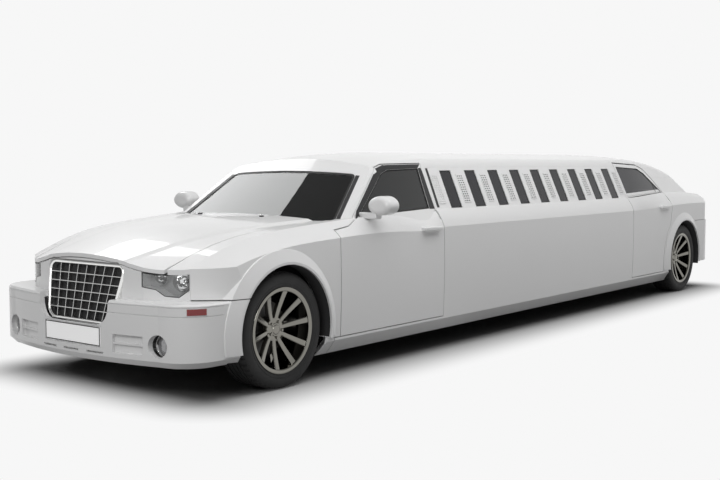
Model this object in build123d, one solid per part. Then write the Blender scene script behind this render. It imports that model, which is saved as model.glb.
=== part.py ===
from build123d import *
from math import acos, asin, cos, radians, sin, sqrt, tan
from typing import NamedTuple
import os

os.makedirs("parts", exist_ok=True)

# Whole car, millimetres: X forward, Y to the car's left, Z up, ground at Z = 0
WHEELBASE = 6370.0
FRONT_OVERHANG = 890.0
REAR_OVERHANG = 960.0
HALF_WIDTH = 942.0
ROOF_Z = 1470.0
PANEL_GAP = 6.0
FIT = 0.3

# Body side
SILL_Z = 150.0
SILL_TUCK = 80.0
ROCKER_Z = 240.0
ROCKER_IN = 10.0
SHOULDER_BULGE = 7.0
CREASE_WIDTH = 40.0
CREASE_DROP = 13.0
DOOR_THICKNESS = 110.0
FRAME_DEPTH = 32.0
WALL = 100.0
PILLAR_WALL = 55.0
QUARTER_WALL = 60.0
ROOF_WALL = 45.0
HOOD_THICKNESS = 24.0
LID_THICKNESS = 24.0
FENDER_SIDE = 18.0
FENDER_TOP = 14.0

# Greenhouse
TUMBLEHOME = 27.5
BELT_Y = 862.0
BELT_Z = 1040.0
ROOF_CROWN_R = 4000.0
ROOF_EDGE_R = 95.0
ROOF_FRONT_R = 5600.0
ROOF_REAR_R = 5500.0
ROOF_FLAT_FRONT = 2000.0
ROOF_FLAT_REAR = 1066.0
ROOF_SPLIT_Z = 1352.0
GLASS_THICKNESS = 5.0
GLASS_INSET = 7.0

# Windscreen and rear window: base middle from the axle, base height, slope, plan radius
SCREEN_BASE = -645.0
SCREEN_BASE_Z = 990.0
SCREEN_SLOPE = 36.0
SCREEN_R = 4090.0
SCREEN_LOW_HALF = 742.0
SCREEN_TOP_HALF = 590.0
SCREEN_RISE = 575.0
BACKLIGHT_BASE = -640.0
BACKLIGHT_BASE_Z = 1075.0
BACKLIGHT_SLOPE = 24.5
BACKLIGHT_R = 3200.0
BACKLIGHT_LOW_HALF = 610.0
BACKLIGHT_TOP_HALF = 520.0
BACKLIGHT_RISE = 620.0

# Doors, measured from their axle
FRONT_DOOR_FRONT = -530.0
FRONT_DOOR_REAR = -1730.0
REAR_DOOR_FRONT = 1316.0
DOOR_BOTTOM_Z = 262.0
REAR_DOOR_ARCH_R = 545.0
DOOR_SEAM = 8.0
DOOR_SHOULDER_Z = 948.0
HINGE_SET_BACK = 70.0
HINGE_IN = 22.0
HINGE_PIN_RADIUS = 6.0
HINGE_PIN_LENGTH = 45.0
LID_PIN_RADIUS = 4.5

# Slit windows and louvre panels of the stretched side
SLIT_PITCH = 349.0
SLIT_WIDTH = 156.0
SLIT_LOW_Z = 1046.0
SLIT_TOP_Z = 1328.0
SLIT_LEAN = 42.0
SLIT_FIRST = 216.0
LOUVRE_WIDTH = 92.0
LOUVRE_LOW_Z = 1082.0
LOUVRE_TOP_Z = 1298.0
LOUVRE_THICKNESS = 3.0
LOUVRE_COLUMNS = 3
LOUVRE_ROWS = 12
LOUVRE_SLOT_WIDTH = 17.0
LOUVRE_SLOT_HEIGHT = 8.0
LOUVRE_EDGE = 10.0

# Wheels
TYRE_RADIUS = 362.0
TYRE_WIDTH = 245.0
TRACK = 1600.0
RIM_RADIUS = 254.0
RIM_LIP_RADIUS = 268.0
RIM_WIDTH = 230.0
RIM_WALL = 12.0
RIM_LIP = 7.0
SPOKES = 10
HUB_RADIUS = 78.0
STUB_RADIUS = 30.0
STUB_FIT = 0.1
DISC_RADIUS = 172.0
DISC_THICKNESS = 28.0
ARCH_RADIUS = 408.0
WELL_RADIUS = 446.0
KINGPIN_Y = 690.0
KINGPIN_RADIUS = 14.0

# Front end, X from the front axle
BUMPER_LOW_Z = 202.0
BUMPER_LIP_Z = 258.0
BUMPER_TOP_Z = 592.0
BUMPER_WALL = 35.0
NOSE_X = 800.0
NOSE_SIDE_X = 745.0
NOSE_SIDE_Y = 500.0
CHEEK_X = 612.0
CHEEK_Y = 738.0
GRILLE_LOW_X = 835.0
GRILLE_LOW_Z = 455.0
GRILLE_LEAN = 12.0
GRILLE_HEIGHT = 322.0
GRILLE_TOP_HALF = 345.0
GRILLE_LOW_HALF = 285.0
GRILLE_FRAME = 24.0
GRILLE_DEPTH = 42.0
GRILLE_BAR = 5.0
GRILLE_COLUMNS = 7
GRILLE_ROWS = 5
PLATE_WIDTH = 520.0
PLATE_HEIGHT = 112.0
PLATE_Z = 369.0

LENGTH = FRONT_OVERHANG + WHEELBASE + REAR_OVERHANG
FRONT_AXLE_X = LENGTH / 2 - FRONT_OVERHANG
REAR_AXLE_X = FRONT_AXLE_X - WHEELBASE
AXLE_Z = TYRE_RADIUS
WHEEL_Y = TRACK / 2


class Station(NamedTuple):
    """One cross-section of the lower body; insets are from the half width."""

    ahead: float
    waist_in: float
    waist_z: float
    crest_in: float
    crest_z: float
    crease_y: float
    crease_z: float
    crown_z: float


# ahead of axle, waist inset, waist z, crest inset, crest z, crease y, crease z, crown z
MIDDLE = Station(0.0, 4.0, 918.0, 74.0, 1040.0, 640.0, 1043.0, 1047.0)
FRONT_STATIONS = [
    MIDDLE._replace(ahead=FRONT_DOOR_REAR),
    Station(-1150.0, 4.0, 912.0, 97.0, 1022.0, 625.0, 1030.0, 1040.0),
    Station(-530.0, 5.0, 904.0, 140.0, 998.0, 590.0, 1010.0, 1032.0),
    Station(-100.0, 8.0, 880.0, 165.0, 965.0, 530.0, 984.0, 1010.0),
    Station(250.0, 14.0, 828.0, 180.0, 907.0, 460.0, 940.0, 970.0),
    Station(560.0, 28.0, 735.0, 205.0, 800.0, 390.0, 870.0, 904.0),
    Station(860.0, 44.0, 640.0, 240.0, 695.0, 340.0, 800.0, 832.0),
]
REAR_STATIONS = [
    MIDDLE._replace(ahead=REAR_DOOR_FRONT),
    Station(416.0, 4.0, 938.0, 110.0, 1073.0, 0.0, 0.0, 1088.0),
    Station(-150.0, 6.0, 948.0, 164.0, 1070.0, 0.0, 0.0, 1092.0),
    Station(-560.0, 12.0, 942.0, 176.0, 1050.0, 0.0, 0.0, 1078.0),
    Station(-1000.0, 26.0, 922.0, 190.0, 1012.0, 0.0, 0.0, 1046.0),
]


def front_x(ahead):
    """X of a place given ahead of the front axle."""
    return FRONT_AXLE_X + ahead


def rear_x(ahead):
    """X of a place given ahead of the rear axle."""
    return REAR_AXLE_X + ahead


def box(x_low, x_high, y_low, y_high, z_low, z_high):
    """Axis-aligned block between the given planes."""
    middle = ((x_low + x_high) / 2, (y_low + y_high) / 2, (z_low + z_high) / 2)
    return Pos(*middle) * Box(x_high - x_low, y_high - y_low, z_high - z_low)


def side_face(points):
    """Face in the XZ plane from (x, z) points."""
    return make_face(Polyline([(x, 0, z) for x, z in points], close=True))


def side_prism(face, y_low, y_high):
    """A side-view face made solid between two widths."""
    return extrude(Pos(0, y_high, 0) * face, y_high - y_low, dir=(0, -1, 0))


def plan_prism(points, z_low, z_high):
    """A plan-view polygon made solid between two heights."""
    face = make_face(Polyline([(x, y, z_low) for x, y in points], close=True))
    return extrude(face, z_high - z_low, dir=(0, 0, 1))


def axle_cylinder(x, radius, y_low, y_high, z=AXLE_Z):
    """Cylinder across the car about a wheel's axis."""
    disc = Pos(x, y_high, z) * Rot(90, 0, 0) * Circle(radius)
    return extrude(disc, y_high - y_low, dir=(0, -1, 0))


def ball(x, y, z, radius):
    """Sphere about a point, with its poles ahead and behind."""
    return Pos(x, y, z) * Rot(0, 90, 0) * Sphere(radius)


def shifted(shape, x=0.0, y=0.0, z=0.0):
    """The shape moved along the axes."""
    return Pos(x, y, z) * shape


def mirrored(shape):
    """The same piece on the car's other side."""
    return mirror(shape, about=Plane.XZ)


def flip(point):
    """A point on the car's other side."""
    return (point[0], -point[1], point[2])


def body_wire(x, s, creased):
    """Closed section of the lower body at one station."""
    sill = (x, HALF_WIDTH - SILL_TUCK, SILL_Z)
    rocker = (x, HALF_WIDTH - ROCKER_IN, ROCKER_Z)
    side = (x, HALF_WIDTH, (ROCKER_Z + s.waist_z) / 2)
    waist = (x, HALF_WIDTH - s.waist_in, s.waist_z)
    crest = (x, HALF_WIDTH - s.crest_in, s.crest_z)
    run = s.crest_in - s.waist_in
    rise = s.crest_z - s.waist_z
    slant = sqrt(run * run + rise * rise)
    bulge = (
        x,
        HALF_WIDTH - (s.waist_in + s.crest_in) / 2 + SHOULDER_BULGE * rise / slant,
        (s.waist_z + s.crest_z) / 2 + SHOULDER_BULGE * run / slant,
    )
    crown = (x, 0, s.crown_z)
    left = [
        Line(sill, rocker),
        ThreePointArc(rocker, side, waist),
        ThreePointArc(waist, bulge, crest),
    ]
    right = [
        ThreePointArc(flip(crest), flip(bulge), flip(waist)),
        ThreePointArc(flip(waist), flip(side), flip(rocker)),
        Line(flip(rocker), flip(sill)),
    ]
    if creased:
        foot = (x, s.crease_y + CREASE_WIDTH, s.crease_z - CREASE_DROP)
        head = (x, s.crease_y, s.crease_z)
        top = [
            Line(crest, foot),
            Line(foot, head),
            ThreePointArc(head, crown, flip(head)),
            Line(flip(head), flip(foot)),
            Line(flip(foot), flip(crest)),
        ]
    else:
        top = [ThreePointArc(crest, crown, flip(crest))]
    return Wire(left + top + right + [Line(flip(sill), sill)])


def front_plan(grow=0.0):
    """Plan outline of the upper nose, from the arches forward."""
    back = front_x(-2200)
    reach = HALF_WIDTH + 200
    corner = (front_x(CHEEK_X + grow), CHEEK_Y)
    inner = (front_x(NOSE_SIDE_X + grow), NOSE_SIDE_Y)
    cheek = (front_x((CHEEK_X + NOSE_SIDE_X) / 2 + 14 + grow), (CHEEK_Y + NOSE_SIDE_Y) / 2)
    turn = (front_x(520 + grow), 852)
    side = (front_x(330), HALF_WIDTH + 2)
    wide = (front_x(320), reach)
    edges = [
        ThreePointArc(mirror_xy(inner), (front_x(NOSE_X + grow), 0), inner),
        ThreePointArc(inner, cheek, corner),
        ThreePointArc(corner, turn, side),
        Line(side, wide),
        Line(wide, (back, reach)),
        Line((back, reach), (back, -reach)),
        Line((back, -reach), mirror_xy(wide)),
        Line(mirror_xy(wide), mirror_xy(side)),
        ThreePointArc(mirror_xy(side), mirror_xy(turn), mirror_xy(corner)),
        ThreePointArc(mirror_xy(corner), mirror_xy(cheek), mirror_xy(inner)),
    ]
    return make_face(edges)


def mirror_xy(point):
    """A plan point on the car's other side."""
    return (point[0], -point[1])


def rear_plan(grow=0.0):
    """Plan outline of the tail, from the rear arches back."""
    front = rear_x(2200)
    reach = HALF_WIDTH + 200
    tail = (rear_x(-REAR_OVERHANG + 22 - grow), 0)
    end = (rear_x(-REAR_OVERHANG + 92 - grow), 640)
    turn = (rear_x(-REAR_OVERHANG + 196 - grow), 846)
    side = (rear_x(-560), HALF_WIDTH + 2)
    wide = (rear_x(-550), reach)
    edges = [
        ThreePointArc(end, tail, mirror_xy(end)),
        ThreePointArc(mirror_xy(end), mirror_xy(turn), mirror_xy(side)),
        Line(mirror_xy(side), mirror_xy(wide)),
        Line(mirror_xy(wide), (front, -reach)),
        Line((front, -reach), (front, reach)),
        Line((front, reach), wide),
        Line(wide, side),
        ThreePointArc(side, turn, end),
    ]
    return make_face(edges)


def tall(face):
    """A plan face made solid through the whole height of the body."""
    return extrude(Pos(0, 0, 50) * face, 1300, dir=(0, 0, 1))


front_form = Solid.make_loft([body_wire(front_x(s.ahead), s, True) for s in FRONT_STATIONS])
front_body = front_form & tall(front_plan())
rear_form = Solid.make_loft([body_wire(rear_x(s.ahead), s, False) for s in REAR_STATIONS])
rear_body = rear_form & tall(rear_plan())
middle_section = Face(body_wire(front_x(FRONT_DOOR_REAR), MIDDLE, False))
middle_length = front_x(FRONT_DOOR_REAR) - rear_x(REAR_DOOR_FRONT)
middle_body = extrude(middle_section, middle_length, dir=(-1, 0, 0))


def greenhouse(side_inset, roof_inset):
    """Upper body before the screens trim it: crowned roof and leaning sides."""
    lean = tan(radians(TUMBLEHOME))
    low_z = SCREEN_BASE_Z - 90
    belt = BELT_Y - side_inset
    top = ROOF_Z - roof_inset
    edge_y = belt
    edge_z = top
    for _ in range(30):
        edge_z = top - ROOF_CROWN_R + sqrt(ROOF_CROWN_R**2 - edge_y**2)
        edge_y = belt - (edge_z - BELT_Z) * lean
    low_y = belt + (BELT_Z - low_z) * lean
    start = front_x(-ROOF_FLAT_FRONT)
    end = rear_x(ROOF_FLAT_REAR)
    face = make_face(
        [
            Line((start, -low_y, low_z), (start, low_y, low_z)),
            Line((start, low_y, low_z), (start, edge_y, edge_z)),
            ThreePointArc((start, edge_y, edge_z), (start, 0, top), (start, -edge_y, edge_z)),
            Line((start, -edge_y, edge_z), (start, -low_y, low_z)),
        ]
    )
    face = fillet(face.vertices().sort_by(Axis.Z)[-2:], ROOF_EDGE_R - roof_inset / 2)
    front_axis = Axis((start, 0, ROOF_Z - ROOF_FRONT_R), (0, 1, 0))
    rear_axis = Axis((end, 0, ROOF_Z - ROOF_REAR_R), (0, 1, 0))
    front = revolve(face, front_axis, 22)
    middle = extrude(face, start - end, dir=(-1, 0, 0))
    rear = revolve(shifted(face, x=end - start), rear_axis, -22)
    return front + middle + rear


def screen_side(inset=0.0):
    """Everything behind the windscreen's outer surface."""
    drop = SCREEN_BASE_Z - 700
    run = drop / tan(radians(SCREEN_SLOPE))
    bow = SCREEN_R - sqrt(SCREEN_R**2 - 1000**2)
    nose = front_x(SCREEN_BASE) + run - inset
    far = front_x(-6000)
    face = make_face(
        [
            ThreePointArc((nose - bow, -1000), (nose, 0), (nose - bow, 1000)),
            Line((nose - bow, 1000), (far, 1000)),
            Line((far, 1000), (far, -1000)),
            Line((far, -1000), (nose - bow, -1000)),
        ]
    )
    slope = radians(SCREEN_SLOPE)
    return extrude(Pos(0, 0, 700) * face, 900 / sin(slope), dir=(-cos(slope), 0, sin(slope)))


def backlight_side(inset=0.0):
    """Everything ahead of the rear window's outer surface."""
    drop = BACKLIGHT_BASE_Z - 700
    run = drop / tan(radians(BACKLIGHT_SLOPE))
    bow = BACKLIGHT_R - sqrt(BACKLIGHT_R**2 - 1000**2)
    tail = rear_x(BACKLIGHT_BASE) - run + inset
    far = rear_x(6000)
    face = make_face(
        [
            ThreePointArc((tail + bow, 1000), (tail, 0), (tail + bow, -1000)),
            Line((tail + bow, -1000), (far, -1000)),
            Line((far, -1000), (far, 1000)),
            Line((far, 1000), (tail + bow, 1000)),
        ]
    )
    slope = radians(BACKLIGHT_SLOPE)
    return extrude(Pos(0, 0, 700) * face, 900 / sin(slope), dir=(cos(slope), 0, sin(slope)))


upper_raw = greenhouse(0.0, 0.0)
upper = upper_raw & screen_side() & backlight_side()
upper_inner = greenhouse(PILLAR_WALL, ROOF_WALL)
lower = front_body + middle_body + rear_body

# Outlines in side view
FRONT_DOOR = [
    (FRONT_DOOR_FRONT - DOOR_SEAM + PANEL_GAP, DOOR_BOTTOM_Z),
    (FRONT_DOOR_FRONT - DOOR_SEAM + PANEL_GAP, DOOR_SHOULDER_Z),
    (-690.0, 966.0),
    (-800.0, 1003.0),
    (-1240.0, 1350.0),
    (-1345.0, 1374.0),
    (-1770.0, 1380.0),
    (FRONT_DOOR_REAR + 4.0, 1052.0),
    (FRONT_DOOR_REAR + 4.0, DOOR_BOTTOM_Z),
]
FRONT_GLASS = [
    (-874.0, 1022.0),
    (-1268.0, 1306.0),
    (-1352.0, 1334.0),
    (-1722.0, 1346.0),
    (-1660.0, 1052.0),
]
REAR_GLASS = [
    (1272.0, 1056.0),
    (1234.0, 1346.0),
    (745.0, 1326.0),
    (622.0, 1280.0),
    (505.0, 1190.0),
    (356.0, 1084.0),
]


def front_outline(points):
    """Side-view points measured from the front axle."""
    return [(front_x(x), z) for x, z in points]


def rear_outline(points):
    """Side-view points measured from the rear axle."""
    return [(rear_x(x), z) for x, z in points]


def rear_door_face(gap):
    """Rear door's outline in side view, cut round the wheel arch."""
    arch = REAR_DOOR_ARCH_R - gap
    low = DOOR_BOTTOM_Z - gap
    low_x = sqrt(arch**2 - (AXLE_Z - low) ** 2)
    high_x = 392.0 - gap
    high_z = AXLE_Z + sqrt(arch**2 - high_x**2)
    turn = (acos(high_x / arch) - asin((AXLE_Z - low) / arch)) / 2
    front = rear_x(REAR_DOOR_FRONT - DOOR_SEAM + gap)
    points = [
        (rear_x(high_x), high_z),
        (rear_x(350.0 - gap), 900.0),
        (rear_x(318.0 - 1.4 * gap), 1068.0),
        (rear_x(470.0 - gap), 1212.0 + gap),
        (rear_x(596.0 - gap / 2), 1312.0 + gap),
        (rear_x(738.0), 1358.0 + gap),
        (rear_x(REAR_DOOR_FRONT - 50.0 + gap), 1380.0 + gap),
        (front, 1052.0),
        (front, low),
        (rear_x(low_x), low),
    ]
    edges = [Line((a[0], 0, a[1]), (b[0], 0, b[1])) for a, b in zip(points, points[1:])]
    edges.append(
        ThreePointArc(
            (rear_x(low_x), 0, low),
            (rear_x(arch * cos(turn)), 0, AXLE_Z + arch * sin(turn)),
            (rear_x(high_x), 0, high_z),
        )
    )
    return make_face(edges)


def grown(points, gap):
    """Side-view face of an outline made larger all round by the gap."""
    return offset(side_face(points), gap, kind=Kind.INTERSECTION)


front_door_zone = side_prism(side_face(front_outline(FRONT_DOOR)), 350, 1100)
front_door_hole = side_prism(grown(front_outline(FRONT_DOOR), PANEL_GAP), 350, 1100)
front_door_hole += box(front_x(FRONT_DOOR_FRONT - 60), front_x(FRONT_DOOR_FRONT + PANEL_GAP), 350, 1100, 200, DOOR_SHOULDER_Z)
rear_door_zone = side_prism(rear_door_face(0.0), 350, 1100)
rear_door_hole = side_prism(rear_door_face(PANEL_GAP + 4.0), 350, 1100)

front_upper = upper & box(front_x(-1900), front_x(0), -1100, 1100, 700, 1600)
rear_upper = upper & box(rear_x(-1500), rear_x(1500), -1100, 1100, 700, 1600)


def make_door(low_form, high_form, zone, glass_points, rear_edge):
    """Door panel with its window frame; depth from the outer skin."""
    skin = (low_form + high_form) & zone
    hollow = shifted(low_form, y=-DOOR_THICKNESS)
    cut = shifted(high_form, y=-FRAME_DEPTH) & box(-9000, 9000, 0, 1100, BELT_Z - 40, 1600)
    window = side_prism(side_face(glass_points), 300, 1100)
    edge = box(rear_edge - 300, rear_edge + 14, 300, HALF_WIDTH - FRAME_DEPTH, 0, BELT_Z)
    return skin - hollow - cut - window - edge


front_door = make_door(
    front_body, front_upper, front_door_zone, front_outline(FRONT_GLASS), front_x(FRONT_DOOR_REAR)
)
rear_door = make_door(
    rear_body, rear_upper, rear_door_zone, rear_outline(REAR_GLASS), rear_x(330.0)
)


def side_glass(form, points):
    """Pane set just inside the outer surface of the leaning side."""
    zone = side_prism(grown(points, -FIT), 300, 1100)
    outer = shifted(form, y=-GLASS_INSET)
    return (outer & zone) - shifted(form, y=-GLASS_INSET - GLASS_THICKNESS)




def hinge_pin(x, radius, z_low, z_high):
    """Upright pin at a door's hinge line."""
    pin = Cylinder(radius, z_high - z_low, align=(Align.CENTER, Align.CENTER, Align.MIN))
    return Pos(x, HALF_WIDTH - HINGE_IN, z_low) * pin


hinge_front_x = front_x(FRONT_DOOR_FRONT - HINGE_SET_BACK)
hinge_rear_x = rear_x(REAR_DOOR_FRONT - HINGE_SET_BACK)
pin_top = DOOR_BOTTOM_Z + HINGE_PIN_LENGTH
front_door -= hinge_pin(hinge_front_x, HINGE_PIN_RADIUS + STUB_FIT, DOOR_BOTTOM_Z - 5, pin_top + 3)
rear_door -= hinge_pin(hinge_rear_x, HINGE_PIN_RADIUS + STUB_FIT, DOOR_BOTTOM_Z - 5, pin_top + 3)

front_door_glass = side_glass(front_upper, front_outline(FRONT_GLASS))
rear_door_glass = side_glass(rear_upper, rear_outline(REAR_GLASS))

# Stretched side: one wall a side with its slit windows
panel_front = front_x(FRONT_DOOR_REAR) - 2.0
panel_rear = rear_x(REAR_DOOR_FRONT)
side_zone = side_prism(
    side_face(
        [
            (panel_front, SILL_Z - 20),
            (panel_front, 1046.0),
            (front_x(-1756.0), 1046.0),
            (front_x(-1812.0), ROOF_SPLIT_Z),
            (panel_rear - 40.0, ROOF_SPLIT_Z),
            (panel_rear, 1046.0),
            (panel_rear, SILL_Z - 20),
        ]
    ),
    300,
    1100,
)
slits = int((middle_length - SLIT_FIRST - SLIT_WIDTH) // SLIT_PITCH) + 1
slit_starts = [front_x(FRONT_DOOR_REAR) - SLIT_FIRST - i * SLIT_PITCH for i in range(slits)]


def slit_points(start, width, low_z, high_z):
    """Leaning four-sided outline of a slit window or louvre panel."""
    lean = SLIT_LEAN * (high_z - low_z) / (SLIT_TOP_Z - SLIT_LOW_Z)
    shift = SLIT_LEAN * (low_z - SLIT_LOW_Z) / (SLIT_TOP_Z - SLIT_LOW_Z)
    first = start - shift
    return [
        (first, low_z),
        (first - width, low_z),
        (first - width - lean, high_z),
        (first - lean, high_z),
    ]


middle_zone = box(panel_rear - 50, panel_front + 50, -1100, 1100, 700, 1600)
middle_upper = upper & middle_zone
side_panel = (middle_body + middle_upper) & side_zone
side_panel -= shifted(middle_body, y=-WALL)
side_panel -= shifted(middle_upper, y=-PILLAR_WALL)
sill_top = DOOR_BOTTOM_Z - PANEL_GAP
front_sill = front_body & box(panel_front, front_x(FRONT_DOOR_FRONT + 60), 300, 1100, 0, sill_top)
rear_sill = rear_body & box(rear_x(300), panel_rear, 300, 1100, 0, sill_top)
joint_sill = middle_body & box(panel_front - 50, front_x(FRONT_DOOR_REAR), 300, 1100, 0, sill_top)
side_panel += joint_sill - shifted(middle_body, y=-WALL)
side_panel += front_sill - shifted(front_body, y=-WALL)
side_panel += rear_sill - shifted(rear_body, y=-WALL)
side_panel += hinge_pin(hinge_front_x, HINGE_PIN_RADIUS, sill_top - 20, pin_top)
side_panel += hinge_pin(hinge_rear_x, HINGE_PIN_RADIUS, sill_top - 20, pin_top)
slit_windows = []
for start in slit_starts:
    outline = slit_points(start, SLIT_WIDTH, SLIT_LOW_Z, SLIT_TOP_Z)
    side_panel -= side_prism(side_face(outline), 300, 1100)
    slit_windows.append(side_glass(middle_upper, outline))

def louvre_slots(start):
    """Side-view openings of one louvre panel, in leaning columns."""
    column_pitch = (LOUVRE_WIDTH - 2 * LOUVRE_EDGE - LOUVRE_SLOT_WIDTH) / (LOUVRE_COLUMNS - 1)
    row_pitch = (LOUVRE_TOP_Z - LOUVRE_LOW_Z - 2 * LOUVRE_EDGE - LOUVRE_SLOT_HEIGHT) / (LOUVRE_ROWS - 1)
    prisms = []
    for row in range(LOUVRE_ROWS):
        low = LOUVRE_LOW_Z + LOUVRE_EDGE + row * row_pitch
        for column in range(LOUVRE_COLUMNS):
            first = start - LOUVRE_EDGE - column * column_pitch
            outline = slit_points(first, LOUVRE_SLOT_WIDTH, low, low + LOUVRE_SLOT_HEIGHT)
            prisms.append(side_prism(side_face(outline), 600, 1000))
    return prisms


def make_louvre(start):
    """Slotted plate lying on the leaning side between two slit windows."""
    outline = slit_points(start, LOUVRE_WIDTH, LOUVRE_LOW_Z, LOUVRE_TOP_Z)
    plate = shifted(middle_upper, y=LOUVRE_THICKNESS + FIT) & side_prism(side_face(outline), 300, 1100)
    plate -= shifted(middle_upper, y=FIT)
    return plate - louvre_slots(start)


louvre_first = slit_starts[0] + (SLIT_PITCH - SLIT_WIDTH) / 2 + LOUVRE_WIDTH / 2
louvre_panels = [make_louvre(louvre_first - i * SLIT_PITCH) for i in range(slits + 1)]

# Flares over the arches: lip, crest and foot circles
FLARE_LIP = 20.0
FLARE_LIP_RADIUS = 424.0
FLARE_CREST_IN = 5.0
FLARE_CREST_RADIUS = 500.0
FLARE_FOOT_RADIUS = 533.0
FLARE_AHEAD = 20.0
FLARE_DEPTH = 100.0


def flare(axle_x):
    """Swollen band round a wheel arch, from its lip over a crest into the body."""
    foot = HALF_WIDTH - FLARE_DEPTH
    outer = HALF_WIDTH + FLARE_LIP
    rims = [
        (foot, axle_x + FLARE_AHEAD, FLARE_FOOT_RADIUS),
        (HALF_WIDTH - FLARE_CREST_IN, axle_x + FLARE_AHEAD, FLARE_CREST_RADIUS),
        (outer, axle_x, FLARE_LIP_RADIUS),
    ]
    wires = [
        Wire((Pos(x, y, AXLE_Z) * Rot(90, 0, 0) * Circle(radius)).edges()) for y, x, radius in rims
    ]
    band = Solid.make_loft(wires, ruled=True)
    return band & box(axle_x - 700, axle_x + 700, foot, outer + 5, ROCKER_Z + 30, 1000)


front_flare = flare(FRONT_AXLE_X)
rear_flare = flare(REAR_AXLE_X)
front_arch = axle_cylinder(FRONT_AXLE_X, ARCH_RADIUS, 300, 1100)
rear_arch = axle_cylinder(REAR_AXLE_X, ARCH_RADIUS, 300, 1100)
side_panel -= rear_arch
side_panel -= front_arch

# Hood, fenders and nose
HOOD_REAR = -572.0
HOOD_REAR_HALF = 706.0
HOOD_FRONT_HALF = 628.0
HOOD_FLARE_X = 560.0
hood_spread = (HOOD_REAR_HALF - HOOD_FRONT_HALF) / (HOOD_FLARE_X - HOOD_REAR + 34)


def hood_half(ahead):
    """Half width of the hood at a place ahead of the front axle."""
    return HOOD_FRONT_HALF + hood_spread * (HOOD_FLARE_X - ahead)


hood_plan = [
    (front_x(HOOD_REAR - 34), HOOD_REAR_HALF),
    (front_x(1000), hood_half(1000)),
    (front_x(1000), -hood_half(1000)),
    (front_x(HOOD_REAR - 34), -HOOD_REAR_HALF),
    (front_x(HOOD_REAR), -300.0),
    (front_x(HOOD_REAR), 300.0),
]
hood_zone = plan_prism(hood_plan, 500, 1300)
hood_hole_plan = [
    (front_x(HOOD_REAR - 300), hood_half(HOOD_REAR - 300) + PANEL_GAP),
    (front_x(1000), hood_half(1000) + PANEL_GAP),
    (front_x(1000), -hood_half(1000) - PANEL_GAP),
    (front_x(HOOD_REAR - 300), -hood_half(HOOD_REAR - 300) - PANEL_GAP),
]
hood_hole = plan_prism(hood_hole_plan, 500, 1300)
hood = (front_body & hood_zone) - shifted(front_body, z=-HOOD_THICKNESS)
HOOD_AXIS_X = -590.0
HOOD_AXIS_Z = 990.0


def cross_pin(x, z, radius, y_low, y_high):
    """Pin lying across the car."""
    return axle_cylinder(x, radius, y_low, y_high, z)


hood_edge = hood_half(HOOD_AXIS_X)
hood_bore = cross_pin(front_x(HOOD_AXIS_X), HOOD_AXIS_Z, LID_PIN_RADIUS + STUB_FIT, hood_edge - 20, hood_edge + 5)
hood -= hood_bore
hood -= mirrored(hood_bore)
under_hood = shifted(front_body, z=-HOOD_THICKNESS - PANEL_GAP)

LAMP_OUTLINE = [
    (488.0, 668.0),
    (572.0, 654.0),
    (622.0, 617.0),
    (694.0, 610.0),
    (742.0, 652.0),
    (742.0, 840.0),
    (488.0, 860.0),
]


def lamp_zone(grow):
    """Opening of the left headlamp, looking along the car."""
    points = [(front_x(440), y, z) for y, z in LAMP_OUTLINE]
    face = make_face(Polyline(points, close=True))
    if grow:
        face = offset(face, grow, kind=Kind.INTERSECTION)
    return extrude(face, 500, dir=(1, 0, 0))


bumper_reach = box(front_x(330), front_x(1000), -1100, 1100, 100, BUMPER_TOP_Z + PANEL_GAP)
fender = front_body - shifted(front_body, y=-FENDER_SIDE, z=-FENDER_TOP)
fender &= box(front_x(-800), front_x(1000), 300, 1100, SILL_Z, 1300)
fender += front_flare
fender -= front_arch
fender -= hood_hole
fender -= front_door_hole
fender -= bumper_reach
fender -= under_hood & box(front_x(560), front_x(900), 0, CHEEK_Y + 8 + FIT, 500, 1000)
fender -= lamp_zone(FIT)
fender -= box(front_x(640), front_x(1000), 0, 1100, 0, 1300)
fender -= box(front_x(-800), front_x(FRONT_DOOR_FRONT + 66), 0, 1100, 0, DOOR_BOTTOM_Z)


def bumper_face(grow):
    """Plan outline of the front bumper."""
    front = (front_x(FRONT_OVERHANG + grow), 0)
    end = (front_x(802 + grow), 690)
    turn = (front_x(736 + grow), 850 + grow * 0.5)
    side = (front_x(560), 926 + grow)
    back = (front_x(330), HALF_WIDTH - 3 + grow)
    edges = [
        ThreePointArc(mirror_xy(end), front, end),
        ThreePointArc(end, turn, side),
        Line(side, back),
        Line(back, mirror_xy(back)),
        Line(mirror_xy(back), mirror_xy(side)),
        ThreePointArc(mirror_xy(side), mirror_xy(turn), mirror_xy(end)),
    ]
    return make_face(edges)


def bumper_band(z_low, z_high, grow_low, grow_high):
    """Bumper between two heights, its outline growing or shrinking."""
    low = Pos(0, 0, z_low) * bumper_face(grow_low)
    if grow_low == grow_high:
        return extrude(low, z_high - z_low, dir=(0, 0, 1))
    high = Pos(0, 0, z_high) * bumper_face(grow_high)
    return loft([low, high], ruled=True)


grille_plane = Plane(
    origin=(front_x(GRILLE_LOW_X), 0, GRILLE_LOW_Z),
    x_dir=(0, 1, 0),
    z_dir=(cos(radians(GRILLE_LEAN)), 0, sin(radians(GRILLE_LEAN))),
)


def grille_outline(grow):
    """Rounded opening of the grille in its leaning plane."""
    points = [
        (-GRILLE_LOW_HALF - grow, -grow),
        (GRILLE_LOW_HALF + grow, -grow),
        (GRILLE_TOP_HALF + grow, GRILLE_HEIGHT + grow),
        (-GRILLE_TOP_HALF - grow, GRILLE_HEIGHT + grow),
    ]
    face = make_face(Polyline(points, close=True))
    face = fillet(face.vertices().sort_by(Axis.Y)[:2], 80 + grow)
    return fillet(face.vertices().sort_by(Axis.Y)[-2:], 34 + grow)


def grille_prism(grow, back, ahead):
    """The grille's outline made solid through its plane."""
    return extrude(grille_plane * Pos(0, 0, -back) * grille_outline(grow), back + ahead)


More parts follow.
